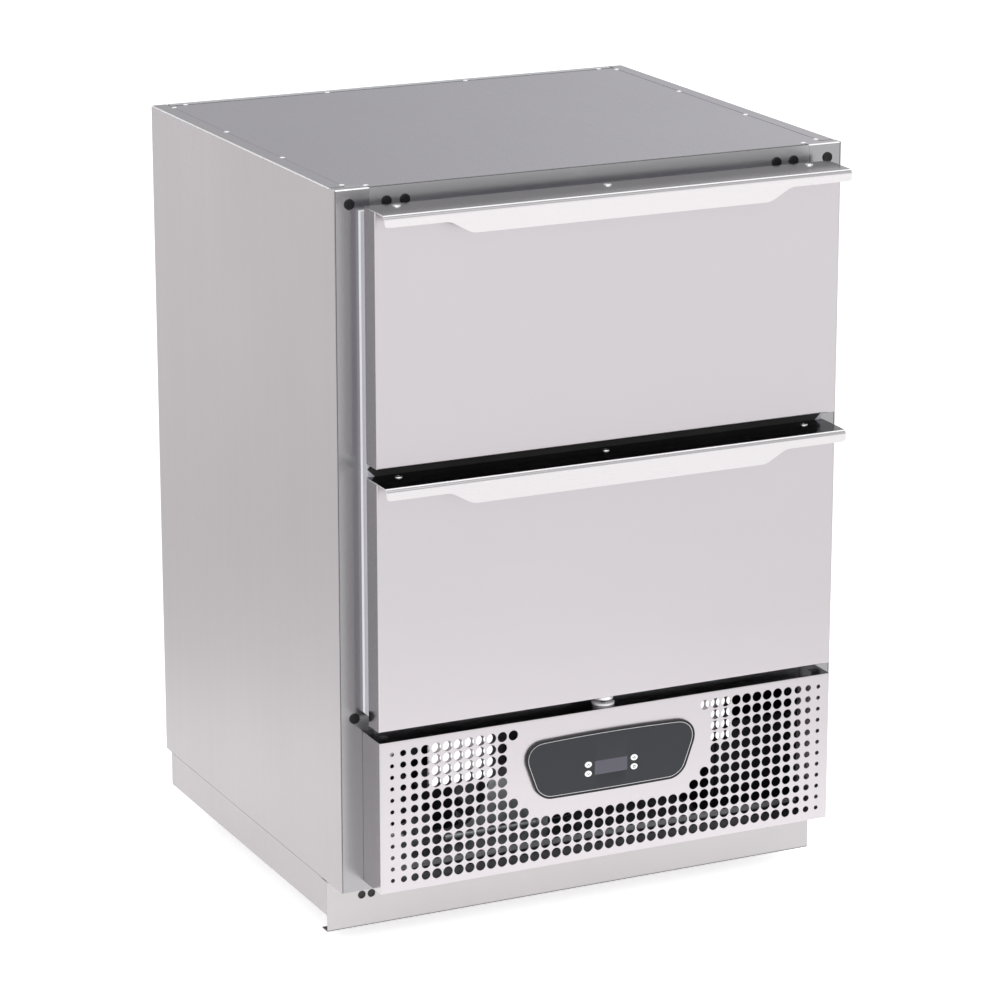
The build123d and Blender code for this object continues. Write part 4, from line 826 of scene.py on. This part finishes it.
class BARFRIDGE_OT_plinth(bpy.types.Operator):
    """Builds the plinth's front plate with its holes, the skirts, and the floor pan's lip"""
    bl_idname = "barfridge.plinth"
    bl_label = "Plinth"

    def execute(self, context):
        size = context.scene.barfridge_cabinet
        self.plate(size)
        self.skirts()
        self.floor_pan_lip()
        return {"FINISHED"}

    @staticmethod
    def plate(size):
        a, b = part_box("plinth_front")
        profile = [(a.x, b.y, a.z), (a.x, a.y, a.z), (a.x, a.y, b.z), (a.x, b.y, b.z)]
        plate = strip("plinth_plate", profile, (b.x - a.x, 0, 0))
        fold(plate, lambda p, q: at(y=a.y)(p, q) and close_to(p.z, q.z), size.corner)
        thicken(plate, PLINTH_SHEET, y=a.y)
        outward(plate)
        z = b.z - PLINTH_HOLE_DROP
        for x in both_sides(*PLINTH_HOLES):
            carve(plate, round_bar("hole", PLINTH_HOLE_RADIUS, 20 * MM, (x, a.y, z), "Y", 28))
        crisp(plate, FINE_EDGE)
        paint(plate, "Plinth shade steel")
        # The bottom fold is painted near black: a painted shadow line along the plinth's foot.
        paint(plate, "Seam shadow steel", lambda centre, normal: centre.z < a.z + size.corner)
        # Black discs just behind the holes, so that the holes look dark inside: painted shade.
        hole_shades = [round_bar("cap", HOLE_SHADE_RADIUS, HOLE_SHADE_THICK, (x, a.y + HOLE_SHADE_DEEP, z), "Y", 28)
                for x in both_sides(*PLINTH_HOLES)]
        for cap in hole_shades:
            paint(cap, "Black rubber and painted shade")
        wear(join("plinth_plate", [plate, *hole_shades]), "cabinet", "steel_front", None, "plinth_front")

    @staticmethod
    def skirts():
        skirt = block("plinth_skirts", *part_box("plinth_skirt"))
        drop(skirt, "FACE", lambda centre, normal: normal.y < -0.9 or normal.z < -0.9)
        fold(skirt, lambda p, q: not close_to(p.z, q.z), SKIRT_CORNER)
        thicken(skirt, PLINTH_SHEET)
        crisp(skirt, FINE_EDGE)
        # The skirts take the darker side tint: painted shade.
        wear(skirt, "cabinet", "steel_outer", "Side shade steel", "plinth_skirt")

    @staticmethod
    def floor_pan_lip():
        """The floor pan's front lip, seen through the low holes: dark below a bright band, plain above it.
        The dark lower part is painted shade, and the band of mirror steel is a painted highlight.
        """
        base = low("base_panel").z
        lip = block("floor_pan_lip", (-OPENING, FRONT - OVER, base),
                    (OPENING, FRONT + LIP_SHEET + OVER, base + LIP_HEIGHT + OVER))
        highlight_low, highlight_high = (base + level for level in LIP_HIGHLIGHT)
        for level in (highlight_low, highlight_high):
            cut(lip, (0, 0, level), (0, 0, 1))
        wear(lip, "cabinet", "galvanised", "Pan shadow steel")
        paint(lip, "Mirror steel and painted highlight", lambda centre, normal: highlight_low < centre.z < highlight_high)
        paint(lip, "Galvanised steel", lambda centre, normal: centre.z > highlight_high)


RAIL_PLUGS = (59 * MM, 80 * MM)
PLUG_THICK, PLUG_EDGE = 2.4 * MM, 0.9 * MM
PLUG_RIM, PLUG_SINK, PLUG_SLOPE = 1.6 * MM, 0.5 * MM, 0.5 * MM
REAR_TACK_X = 88 * MM


class BARFRIDGE_OT_plugs(bpy.types.Operator):
    """Builds the black hole plugs and the weld tacks of the top"""
    bl_idname = "barfridge.plugs"
    bl_label = "Plugs and tacks"

    def execute(self, context):
        size = context.scene.barfridge_cabinet
        self.plugs(size)
        self.tacks(size)
        return {"FINISHED"}

    @staticmethod
    def plugs(size):
        a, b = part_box("hole_plugs")
        middle = (0, a.y + PLUG_THICK / 2, 0)
        plug = round_bar("hole_plugs_dressed", size.plug_radius, PLUG_THICK, middle, "Y")
        fold(plug, at(y=a.y), PLUG_EDGE, 4)
        pick(plug, "FACE", facing("-y", 0.99))
        bpy.ops.mesh.inset(thickness=PLUG_RIM)
        pull((0, PLUG_SINK, 0))
        bpy.ops.mesh.inset(thickness=PLUG_SLOPE)
        alone(plug)
        post_x, high_z, low_z = b.x - size.plug_radius, b.z - size.plug_radius, a.z + size.plug_radius
        spots = [(x, 0, z) for x in (-post_x, post_x) for z in (high_z, low_z)]
        spots += [(x, 0, high_z) for x in both_sides(*RAIL_PLUGS)]
        plugs = copies(plug, spots)
        smooth(plugs)
        wear(plugs, "cabinet", "black_plastic", "Black plastic", "hole_plugs")

    @staticmethod
    def tacks(size):
        a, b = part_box("panel_tacks")
        radius = size.tack_radius
        tack = primitive(bpy.ops.mesh.primitive_uv_sphere_add, "panel_tacks_dressed",
                         (1, 1, (b.z - a.z) / radius), segments=20, ring_count=12, radius=radius)
        drop(tack, "VERT", lambda co: co.z < -0.05 * MM)
        seam_x, seam_y, front_y = b.x - radius, b.y - radius, a.y + radius
        step = (BACK - FRONT - 2 * size.tack_end) / 3
        pairs = [(seam_x, FRONT + size.tack_end + index * step) for index in range(4)]
        pairs += [(OPENING - size.seam / 2, front_y), (REAR_TACK_X, seam_y), (OPENING + radius, seam_y)]
        tacks = copies(tack, [(side * x, y, a.z) for x, y in pairs for side in (-1, 1)])
        smooth(tacks, 60)
        wear(tacks, "cabinet", "zinc", "Satin nickel and painted highlight", "panel_tacks")


# Drawers

PAN_CORNER, PAN_EDGE = 0.8 * MM, 0.2 * MM
NOSE_DROP = 0.5 * MM
CREASE_RADIUS = 1.5 * MM
END_CORNER, STEP_CORNER = 4 * MM, 5 * MM
SOCKET_RADIUS, SOCKET_DEPTH = 1.5 * MM, 1.6 * MM


class BARFRIDGE_OT_drawer_fronts(bpy.types.Operator):
    """Builds the two drawer fronts as deep pans with rounded corners"""
    bl_idname = "barfridge.drawer_fronts"
    bl_label = "Drawer fronts"

    def execute(self, context):
        size = context.scene.barfridge_drawer
        for which in ("upper", "lower"):
            a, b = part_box(f"{which}_drawer_front")
            pan = block(f"{which}_front_pan", a, b)
            drop(pan, "FACE", facing("+y"))
            fold(pan, at(y=a.y), size.corner, 6)
            fold(pan, lambda p, q: (at(z=a.z)(p, q) or at(z=b.z)(p, q))
                 and all(close_to(abs(end.x), b.x) for end in (p, q)), PAN_CORNER, 3)
            thicken(pan, size.sheet)
            crisp(pan, PAN_EDGE)
            wear(pan, f"{which}_drawer", "steel_front", "Front steel", f"{which}_drawer_front")
            # The pan's side faces take their own tint and sheen, set by how they look lit: painted shading.
            paint(pan, "Side face shading steel", lambda centre, normal: abs(normal.x) > 0.9)
        return {"FINISHED"}


class BARFRIDGE_OT_handles(bpy.types.Operator):
    """Builds the full-width handles: a flat top, a rounded nose and a stepped lip"""
    bl_idname = "barfridge.handles"
    bl_label = "Handles"

    def execute(self, context):
        size = context.scene.barfridge_drawer
        # The handles' tops are tinted dark, the lower one near black, for the shade and dark reflections over
        # them: painted shade.
        for which, top in (("upper", "Handle top shade steel"), ("lower", "Shaded steel")):
            a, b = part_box(f"{which}_drawer_handle")
            self.handle(size, which, top, a, b)
            self.screws(size, which, b.z)
        return {"FINISHED"}

    @staticmethod
    def handle(size, which, top, a, b):
        crease = b.y - size.handle_flat
        end_z = b.z - size.end_lip
        profile = [(a.x, b.y, b.z), (a.x, crease, b.z), (a.x, a.y, b.z - NOSE_DROP), (a.x, a.y, a.z)]
        handle = strip(f"{which}_handle", profile, (b.x - a.x, 0, 0))
        fold(handle, at(y=a.y, z=b.z - NOSE_DROP), size.nose, 12)
        fold(handle, at(y=crease), CREASE_RADIUS, 3)
        for x in (size.step_inner, size.step_outer):
            cut(handle, (-x, 0, 0), (1, 0, 0))
            cut(handle, (x, 0, 0), (1, 0, 0))
        shape(handle, "VERT", lambda co: close_to(co.z, a.z) and abs(co.x) > size.step_outer - MM,
              bpy.ops.transform.translate, value=(0, 0, end_z - a.z))
        for x, radius in ((b.x, END_CORNER), (size.step_outer, STEP_CORNER), (size.step_inner, STEP_CORNER)):
            round_corners(handle, lambda co: close_to(abs(co.x), x) and co.z < end_z + 0.1 * MM, radius, 6)
        thicken(handle, size.handle_sheet, y=a.y)
        outward(handle)
        crisp(handle, 0.3 * MM)
        wear(handle, f"{which}_drawer", "steel_front", "Handle steel", f"{which}_drawer_handle")
        # The nose is tinted darker than the lip (painted shade), and its crest takes a light finish (painted
        # highlight).
        paint(handle, "Handle nose shade steel", facing("+z", 0.25))
        paint(handle, "Satin nickel and painted highlight", lambda centre, normal: 0.77 < normal.z < 0.96
              and centre.y < crease - 2 * CREASE_RADIUS)
        paint(handle, top, facing("+z", 0.96))

    @staticmethod
    def screws(size, which, base):
        """Domed heads with a hexagon socket, standing on the handle."""
        a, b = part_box(f"{which}_handle_screws")
        y, thick = (a.y + b.y) / 2, b.z - base
        head = round_bar(f"{which}_handle_screws_dressed", size.screw_radius, thick,
                         (0, y, base + thick / 2), "Z", 30)
        fold(head, at(z=b.z), thick * 0.75, 4)
        carve(head, round_bar("socket", SOCKET_RADIUS, SOCKET_DEPTH, (0, y, b.z), "Z", 6))
        reach = b.x - size.screw_radius
        heads = copies(head, [(x, 0, 0) for x in (-reach, 0, reach)])
        smooth(heads, 40)
        wear(heads, f"{which}_drawer", "zinc", "Zinc", f"{which}_handle_screws")


# Grille and controls

ROW_COUNTS = (12, 11, 11, 11, 11, 11, 12, 13, 41, 41, 41, 41)
EDGE_RADII = (2.35, 3.55, 4.4, 5.1)
SIDE_CUTS = 4
GRILLE_PLUG_INSET = 12 * MM
GRILLE_PLUG_RADIUS = 5 * MM
GRILLE_PLUG_THICK, GRILLE_PLUG_DEEP = 0.9 * MM, 0.7 * MM
GRILLE_EDGE = 0.18 * MM


def tile(name, pitch, radius):
    """One square of perforated sheet, in the plane of the front; with no radius it has no hole."""
    piece = upright(name, pitch, pitch, (0, 0, 0))
    if not radius:
        shape(piece, "FACE", everything, bpy.ops.mesh.subdivide, number_cuts=SIDE_CUTS)
        return piece
    pick(piece, "EDGE", everything)
    bpy.ops.mesh.delete(type="ONLY_FACE")
    bpy.ops.mesh.select_all(action="SELECT")
    bpy.ops.mesh.subdivide(number_cuts=SIDE_CUTS)
    ring = primitive(bpy.ops.mesh.primitive_circle_add, "hole", vertices=4 * (SIDE_CUTS + 1), radius=radius,
                     rotation=(pi / 2, pi / 4, 0))
    piece = join(name, [piece, ring])
    shape(piece, "EDGE", everything, bpy.ops.mesh.bridge_edge_loops)
    return piece


class BARFRIDGE_OT_grille(bpy.types.Operator):
    """Builds the perforated grille from squares of sheet, and folds its flanges"""
    bl_idname = "barfridge.grille"
    bl_label = "Grille"

    def execute(self, context):
        size = context.scene.barfridge_grille
        a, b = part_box("grille_panel")
        grille = self.face(size, a, b)
        rim, depth = size.margin - size.pitch / 2, b.y - a.y
        widen(grille, at(x=a.x + rim), (-rim, 0, 0))
        widen(grille, at(x=b.x - rim), (rim, 0, 0))
        widen(grille, at(z=a.z + rim), (0, 0, -rim))
        widen(grille, at(z=b.z - rim), (0, 0, rim))
        widen(grille, at(z=b.z), (0, depth, 0))
        widen(grille, at(y=a.y, z=a.z), (0, size.foot, 0))
        widen(grille, at(x=a.x, y=a.y), (0, depth, 0))
        widen(grille, at(x=b.x, y=a.y), (0, depth, 0))
        weld(grille)
        borders = [at(y=a.y, x=a.x), at(y=a.y, x=b.x), at(y=a.y, z=a.z), at(y=a.y, z=b.z)]
        fold(grille, lambda p, q: any(border(p, q) for border in borders), size.corner, 4)
        thicken(grille, size.sheet, y=a.y)
        crisp(grille, GRILLE_EDGE, 1, 50)
        y = (low("captive_washer").y + high("captive_washer").y) / 2
        radius, reach = GRILLE_PLUG_RADIUS, b.x - GRILLE_PLUG_INSET
        for x in (-reach, reach):
            carve(grille, round_bar("hole", radius, 8 * MM, (x, y, b.z), "Z", 24))
        smooth(grille, 32)
        wear(grille, "grille", "steel_front", "Front steel", "grille_panel")
        # The side faces take their own tint (painted shading); the top flange and the foot inside the grille
        # are near black for the shade under the drawer and behind the sheet (painted shade).
        paint(grille, "Side face shading steel", lambda centre, normal: abs(normal.x) > 0.9
              and close_to(abs(centre.x), b.x, MM))
        paint(grille, "Shaded steel", lambda centre, normal: normal.z > 0.9 and close_to(centre.z, b.z, MM))
        paint(grille, "Pan shadow steel", lambda centre, normal: normal.z > 0.9 and centre.z < a.z + 2 * MM)
        plugs = [round_bar("plug", radius, GRILLE_PLUG_THICK, (x, y, b.z - GRILLE_PLUG_DEEP), "Z", 24)
                 for x in (-reach, reach)]
        wear(join("grille_plugs", plugs), "grille", "black_plastic", "Black plastic")
        return {"FINISHED"}

    @staticmethod
    def face(size, a, b):
        """The perforated face, without its plain rim."""
        radii = [radius * MM for radius in EDGE_RADII] + [size.hole, 0.0]
        tiles = {radius: tile("grille_square", size.pitch, radius) for radius in radii}
        columns = round((b.x - a.x - 2 * size.margin) / size.pitch) + 1
        made = []
        for row, count in enumerate(ROW_COUNTS):
            for column in range(columns):
                edge = min(column, columns - 1 - column)
                radius = radii[min(edge, len(EDGE_RADII))] if edge < count else 0.0
                place = ((column - (columns - 1) / 2) * size.pitch, a.y, b.z - size.margin - row * size.pitch)
                made.append(copied(tiles[radius], Matrix.Translation(place)))
        grille = join("grille_dressed", made, *tiles.values())
        weld(grille)
        return grille


WASHER_STEPS = ((1.2, 0.0), (1.4, -0.2), (2.0, -0.3), (2.4, -0.2), (2.2, -0.1))
WASHER_EDGE, WASHER_HOLE = 0.45 * MM, 2.8 * MM
HEAD_THICK, HEAD_EDGE = 4.4 * MM, 0.65 * MM
KEEPER_RADIUS, KEEPER_THICK, KEEPER_EDGE = 6 * MM, 2.5 * MM, 0.5 * MM
SHANK_RADIUS = 2.5 * MM
SLOT_HALF, SLOT_REACH = 0.8 * MM, 7 * MM


class BARFRIDGE_OT_grille_screw(bpy.types.Operator):
    """Builds the slotted screw that holds the grille, and the dished washer under it"""
    bl_idname = "barfridge.grille_screw"
    bl_label = "Grille screw"

    def execute(self, context):
        a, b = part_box("captive_washer")
        y = (a.y + b.y) / 2
        self.washer(y, a, b)
        self.screw(y, *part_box("thumb_screw"))
        return {"FINISHED"}

    @staticmethod
    def washer(y, a, b):
        """A disc whose top is inset and sunk in steps: each is a width and a depth in millimetres."""
        washer = round_bar("captive_washer_dressed", b.x, b.z - a.z, (0, y, (a.z + b.z) / 2), "Z", 48)
        pick(washer, "FACE", facing("+z"))
        for width, deep in WASHER_STEPS:
            bpy.ops.mesh.inset(thickness=width * MM)
            bpy.ops.transform.translate(value=(0, 0, deep * MM))
        alone(washer)
        fold(washer, lambda p, q: close_to(p.z, q.z) and all(
            close_to(Vector((end.x, end.y - y)).length, b.x, 0.1 * MM) for end in (p, q)), WASHER_EDGE, 4)
        carve(washer, round_bar("hole", WASHER_HOLE, 10 * MM, (0, y, b.z), "Z", 24))
        smooth(washer, 40)
        wear(washer, "grille", "zinc", "Satin nickel and painted highlight", "captive_washer")

    @staticmethod
    def screw(y, a, b):
        under, keep = b.z - HEAD_THICK, a.z + KEEPER_THICK
        head = round_bar("thumb_screw_dressed", b.x, HEAD_THICK, (0, y, b.z - HEAD_THICK / 2), "Z", 48)
        fold(head, lambda p, q: close_to(p.z, q.z), HEAD_EDGE, 4)
        carve(head, block("slot", (-SLOT_REACH, y - SLOT_HALF, b.z - SLOT_HALF),
                          (SLOT_REACH, y + SLOT_HALF, b.z + MM)))
        smooth(head, 35)
        paint(head, "Satin nickel and painted highlight")
        shank = round_bar("shank", SHANK_RADIUS, under - a.z, (0, y, (a.z + under) / 2), "Z", 24)
        keeper = round_bar("keeper", KEEPER_RADIUS, keep - a.z, (0, y, (a.z + keep) / 2), "Z", 32)
        fold(keeper, lambda p, q: close_to(p.z, q.z), KEEPER_EDGE, 3)
        stem = join("stem", [shank, keeper])
        smooth(stem, 35)
        paint(stem, "Dark steel")
        wear(join("thumb_screw_dressed", [head, stem]), "thumb_screw", "zinc", None, "thumb_screw")


BUTTONS = (1, 2, 3, 4)
WELL_GAP = 0.25 * MM
GLASS_GAP = 0.1 * MM
SIGN_STROKE = 0.34 * MM
PANEL_EDGE, GLASS_EDGE, CAP_EDGE = 0.12 * MM, 0.2 * MM, 0.45 * MM
BOW_CUTS, BOW_STEPS = 27, 40


class BARFRIDGE_OT_control_panel(bpy.types.Operator):
    """Builds the control panel with its rim, line, display and buttons"""
    bl_idname = "barfridge.control_panel"
    bl_label = "Control panel"

    def execute(self, context):
        size = context.scene.barfridge_panel
        a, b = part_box("control_panel")
        panel = panel_outline(size, a, b)
        pick(panel, "FACE", everything)
        pull((0, a.y - b.y, 0))
        bpy.ops.mesh.inset(thickness=size.rim)
        pull((0, size.rim_height, 0))
        bpy.ops.mesh.inset(thickness=size.line)
        alone(panel)
        outward(panel)
        crisp(panel, PANEL_EDGE, 2, 50)
        glass_low, glass_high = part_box("display_window")
        carve(panel, block("well", (glass_low.x - GLASS_GAP, a.y - MM, glass_low.z - GLASS_GAP),
                           (glass_high.x + GLASS_GAP, glass_high.y, glass_high.z + GLASS_GAP)))
        for index in BUTTONS:
            carve(panel, button_bar(size, f"button_{index}", WELL_GAP, a.y - 3 * MM, b.y + 3 * MM))
        smooth(panel)
        wear(panel, "grille", "panel_black", "Panel black", "control_panel")
        sunk = a.y + size.rim_height
        field = max(face.area for face in panel.data.polygons if close_to(face.center.y, sunk))

        def on_front(centre, normal):
            return normal.y < -0.9 and close_to(centre.y, sunk)

        paint(panel, "Panel line", on_front)
        paint(panel, "Panel charcoal", on_front, field / 50)
        glass = block("display_dressed", glass_low, glass_high)
        crisp(glass, GLASS_EDGE)
        wear(glass, "grille", "display", "Display", "display_window")
        for index in BUTTONS:
            self.button(size, index)
        return {"FINISHED"}

    def button(self, size, index):
        """An oval cap with a small plain sign on it."""
        name = f"button_{index}"
        a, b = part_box(name)
        middle = (a + b) / 2
        cap = button_bar(size, name, 0, a.y, b.y - size.button_flange)
        cap.name = f"{name}_dressed"
        fold(cap, at(y=a.y), CAP_EDGE, 4)
        smooth(cap, 35)
        wear(cap, name, "button_white", "Button white", name)
        sign = join(f"{name}_sign", self.sign(index))
        sign.data.transform(Matrix.Translation((middle.x, a.y - 0.02 * MM, middle.z)))
        outward(sign)
        wear(sign, name, "button_white", "Icon grey")

    @staticmethod
    def sign(index):
        """The strokes of a sign round the origin, in millimetres: raise, lower, light, and on or off."""

        def stroke(x, z, length, turn):
            half = length * MM / 2
            bar = block("stroke", (-half, -0.03 * MM, -SIGN_STROKE), (half, 0.05 * MM, SIGN_STROKE))
            bar.rotation_euler = (0, turn, 0)
            bar.location = (x * MM, 0, z * MM)
            return fix(bar)

        def loop(radius):
            ring = primitive(bpy.ops.mesh.primitive_torus_add, "loop", major_segments=20, minor_segments=6,
                             major_radius=radius * MM, minor_radius=SIGN_STROKE, rotation=(pi / 2, 0, 0))
            shape(ring, "VERT", everything, bpy.ops.transform.resize, value=(1, 0.2, 1),
                  center_override=(0, 0, 0))
            return ring

        if index < 3:
            lean = pi / 4 if index == 1 else -pi / 4
            return [stroke(side * 0.8, 0, 2.5, side * lean) for side in (-1, 1)]
        if index == 3:
            return [loop(1.0)] + [stroke(side * 2.1, 0, 0.9, 0) for side in (-1, 1)]
        return [loop(1.4), stroke(0, 1.1, 1.7, pi / 2)]


def button_bar(size, name, gap, y0, y1):
    """An oval bar round a button's middle, larger than its cap by a gap."""
    a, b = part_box(name)
    middle, half = (a + b) / 2, (b - a) / 2
    bar = round_bar("well", 1.0, y1 - y0, (0, (y0 + y1) / 2, 0), "Y", 32)
    pick(bar, "VERT", everything)
    grow = gap - size.button_flange
    bpy.ops.transform.resize(value=(half.x + grow, 1, half.z + grow), center_override=(0, 0, 0))
    bpy.ops.transform.translate(value=(middle.x, 0, middle.z))
    alone(bar)
    return bar


def panel_outline(size, a, b):
    """The panel's flat outline at its back: a trapezoid with round corners and bowed long edges."""
    up, down = b.z - size.crown, a.z + size.sag
    middle = (up + down) / 2
    piece = upright("control_panel_dressed", size.low_width, up - down, (0, b.y, middle))
    shape(piece, "VERT", lambda co: co.z > middle, bpy.ops.transform.resize,
          value=(size.top_width / size.low_width, 1, 1), center_override=(0, b.y, up))
    for level, reach in ((up, size.top_corner), (down, size.low_corner)):
        round_corners(piece, at(z=level), reach, 12)
    shape(piece, "EDGE", lambda p, q: close_to(p.z, q.z) and abs(p.x - q.x) > 30 * MM,
          bpy.ops.mesh.subdivide, number_cuts=BOW_CUTS)
    for side, half, rise in ((1, size.top_width / 2, size.crown), (-1, size.low_width / 2, -size.sag)):
        for step in range(BOW_STEPS):
            reach = half * sqrt(1 - (step + 0.5) / BOW_STEPS)
            shape(piece, "VERT", lambda co: (co.z - middle) * side > 0 and abs(co.x) < reach,
                  bpy.ops.transform.translate, value=(0, 0, rise / BOW_STEPS))
    return piece


# Stage

CAMERA_PLACE = (-1.9477, -4.0566, 1.7241)
CAMERA_YAW, CAMERA_PITCH, CAMERA_FOCAL = 25.65, 16.14, 4.1357
SENSOR = 36.0
SUN_DIRECTION, SUN_ANGLE = Vector((0.25, 0.58, -0.77)), 75
REAR_LAMP = Vector((0.72, 0.62, 0.36)).normalized()


class BARFRIDGE_OT_stage(bpy.types.Operator):
    """Sets the floor, the soft lights, the surroundings and the camera"""
    bl_idname = "barfridge.stage"
    bl_label = "Stage"

    def execute(self, context):
        size = context.scene.barfridge_stage
        floor = primitive(bpy.ops.mesh.primitive_plane_add, "studio_floor", size=size.floor)
        paint(floor, "Pale floor")
        bpy.ops.object.light_add(type="SUN", location=(-2, -2, 4))
        sun = bpy.context.object
        sun.name = "soft_sun"
        sun.data.energy = size.sun
        sun.data.angle = radians(SUN_ANGLE)
        sun.rotation_euler = SUN_DIRECTION.to_track_quat("-Z", "Y").to_euler()
        self.surroundings(size.sky)
        bpy.ops.object.camera_add(location=CAMERA_PLACE)
        camera = bpy.context.object
        camera.rotation_euler = (radians(90 - CAMERA_PITCH), 0, -radians(CAMERA_YAW))
        camera.data.sensor_width = SENSOR
        camera.data.lens = SENSOR * CAMERA_FOCAL
        camera.data.clip_start, camera.data.clip_end = 0.1, 100.0
        camera.data.dof.use_dof = False
        context.scene.camera = camera
        context.scene.view_settings.view_transform = "Standard"
        return {"FINISHED"}

    @staticmethod
    def surroundings(strength):
        """A dim room behind the object, a brighter one in front, and a soft lamp at the right rear."""
        world = bpy.context.scene.world or bpy.data.worlds.new("Surroundings")
        bpy.context.scene.world = world
        world.use_nodes = True
        tree = world.node_tree
        tree.nodes.clear()
        place = node(tree, "ShaderNodeTexCoord").outputs["Generated"]
        parts = node(tree, "ShaderNodeSeparateXYZ", {0: place}).outputs
        aim = node(tree, "ShaderNodeVectorMath", {0: place, 1: REAR_LAMP}, operation="DOT_PRODUCT").outputs
        room = ramp(tree, parts["Z"], 0.2, 0.9, 0.58, 0.70)
        front = ramp(tree, parts["Y"], -0.7, 0.1, 0.48, 0.0)
        level = number(tree, "ADD", number(tree, "ADD", room, front),
                       ramp(tree, aim["Value"], 0.88, 0.985, 0.0, 0.35))
        back = node(tree, "ShaderNodeBackground", {"Color": (1.0, 1.0, 1.01, 1),
                                                   "Strength": number(tree, "MULTIPLY", level, strength)})
        node(tree, "ShaderNodeOutputWorld", {"Surface": back.outputs[0]})


class BARFRIDGE_PT_pieces(bpy.types.Panel):
    """Lists the pieces of the refrigerator, with their sizes and colours"""
    bl_label = "Bar refrigerator"
    bl_idname = "BARFRIDGE_PT_pieces"
    bl_space_type = "VIEW_3D"
    bl_region_type = "UI"
    bl_category = "Bar refrigerator"

    def draw(self, context):
        for operator in OPERATORS:
            self.layout.operator(operator.bl_idname)
        for group, kind in GROUPS.items():
            for name in kind.__annotations__:
                self.layout.prop(getattr(context.scene, group), name)


GROUPS = {
    "barfridge_colours": FinishColours,
    "barfridge_cabinet": CabinetSizes,
    "barfridge_drawer": DrawerSizes,
    "barfridge_grille": GrilleSizes,
    "barfridge_panel": PanelSizes,
    "barfridge_stage": StageSizes,
}
OPERATORS = (
    BARFRIDGE_OT_finishes, BARFRIDGE_OT_sides, BARFRIDGE_OT_top, BARFRIDGE_OT_front_frame,
    BARFRIDGE_OT_seals, BARFRIDGE_OT_plinth, BARFRIDGE_OT_plugs, BARFRIDGE_OT_drawer_fronts,
    BARFRIDGE_OT_handles, BARFRIDGE_OT_grille, BARFRIDGE_OT_grille_screw, BARFRIDGE_OT_control_panel,
    BARFRIDGE_OT_kept_finishes, BARFRIDGE_OT_stage,
)


def register():
    for item in (*GROUPS.values(), *OPERATORS, BARFRIDGE_PT_pieces):
        bpy.utils.register_class(item)
    for name, group in GROUPS.items():
        setattr(bpy.types.Scene, name, bpy.props.PointerProperty(type=group))


def unregister():
    for name in GROUPS:
        delattr(bpy.types.Scene, name)
    for item in (BARFRIDGE_PT_pieces, *reversed(OPERATORS), *reversed(list(GROUPS.values()))):
        bpy.utils.unregister_class(item)


def main():
    register()
    for operator in OPERATORS:
        getattr(bpy.ops.barfridge, operator.bl_idname.split(".")[1])()
    alone()


if __name__ == "__main__":
    main()
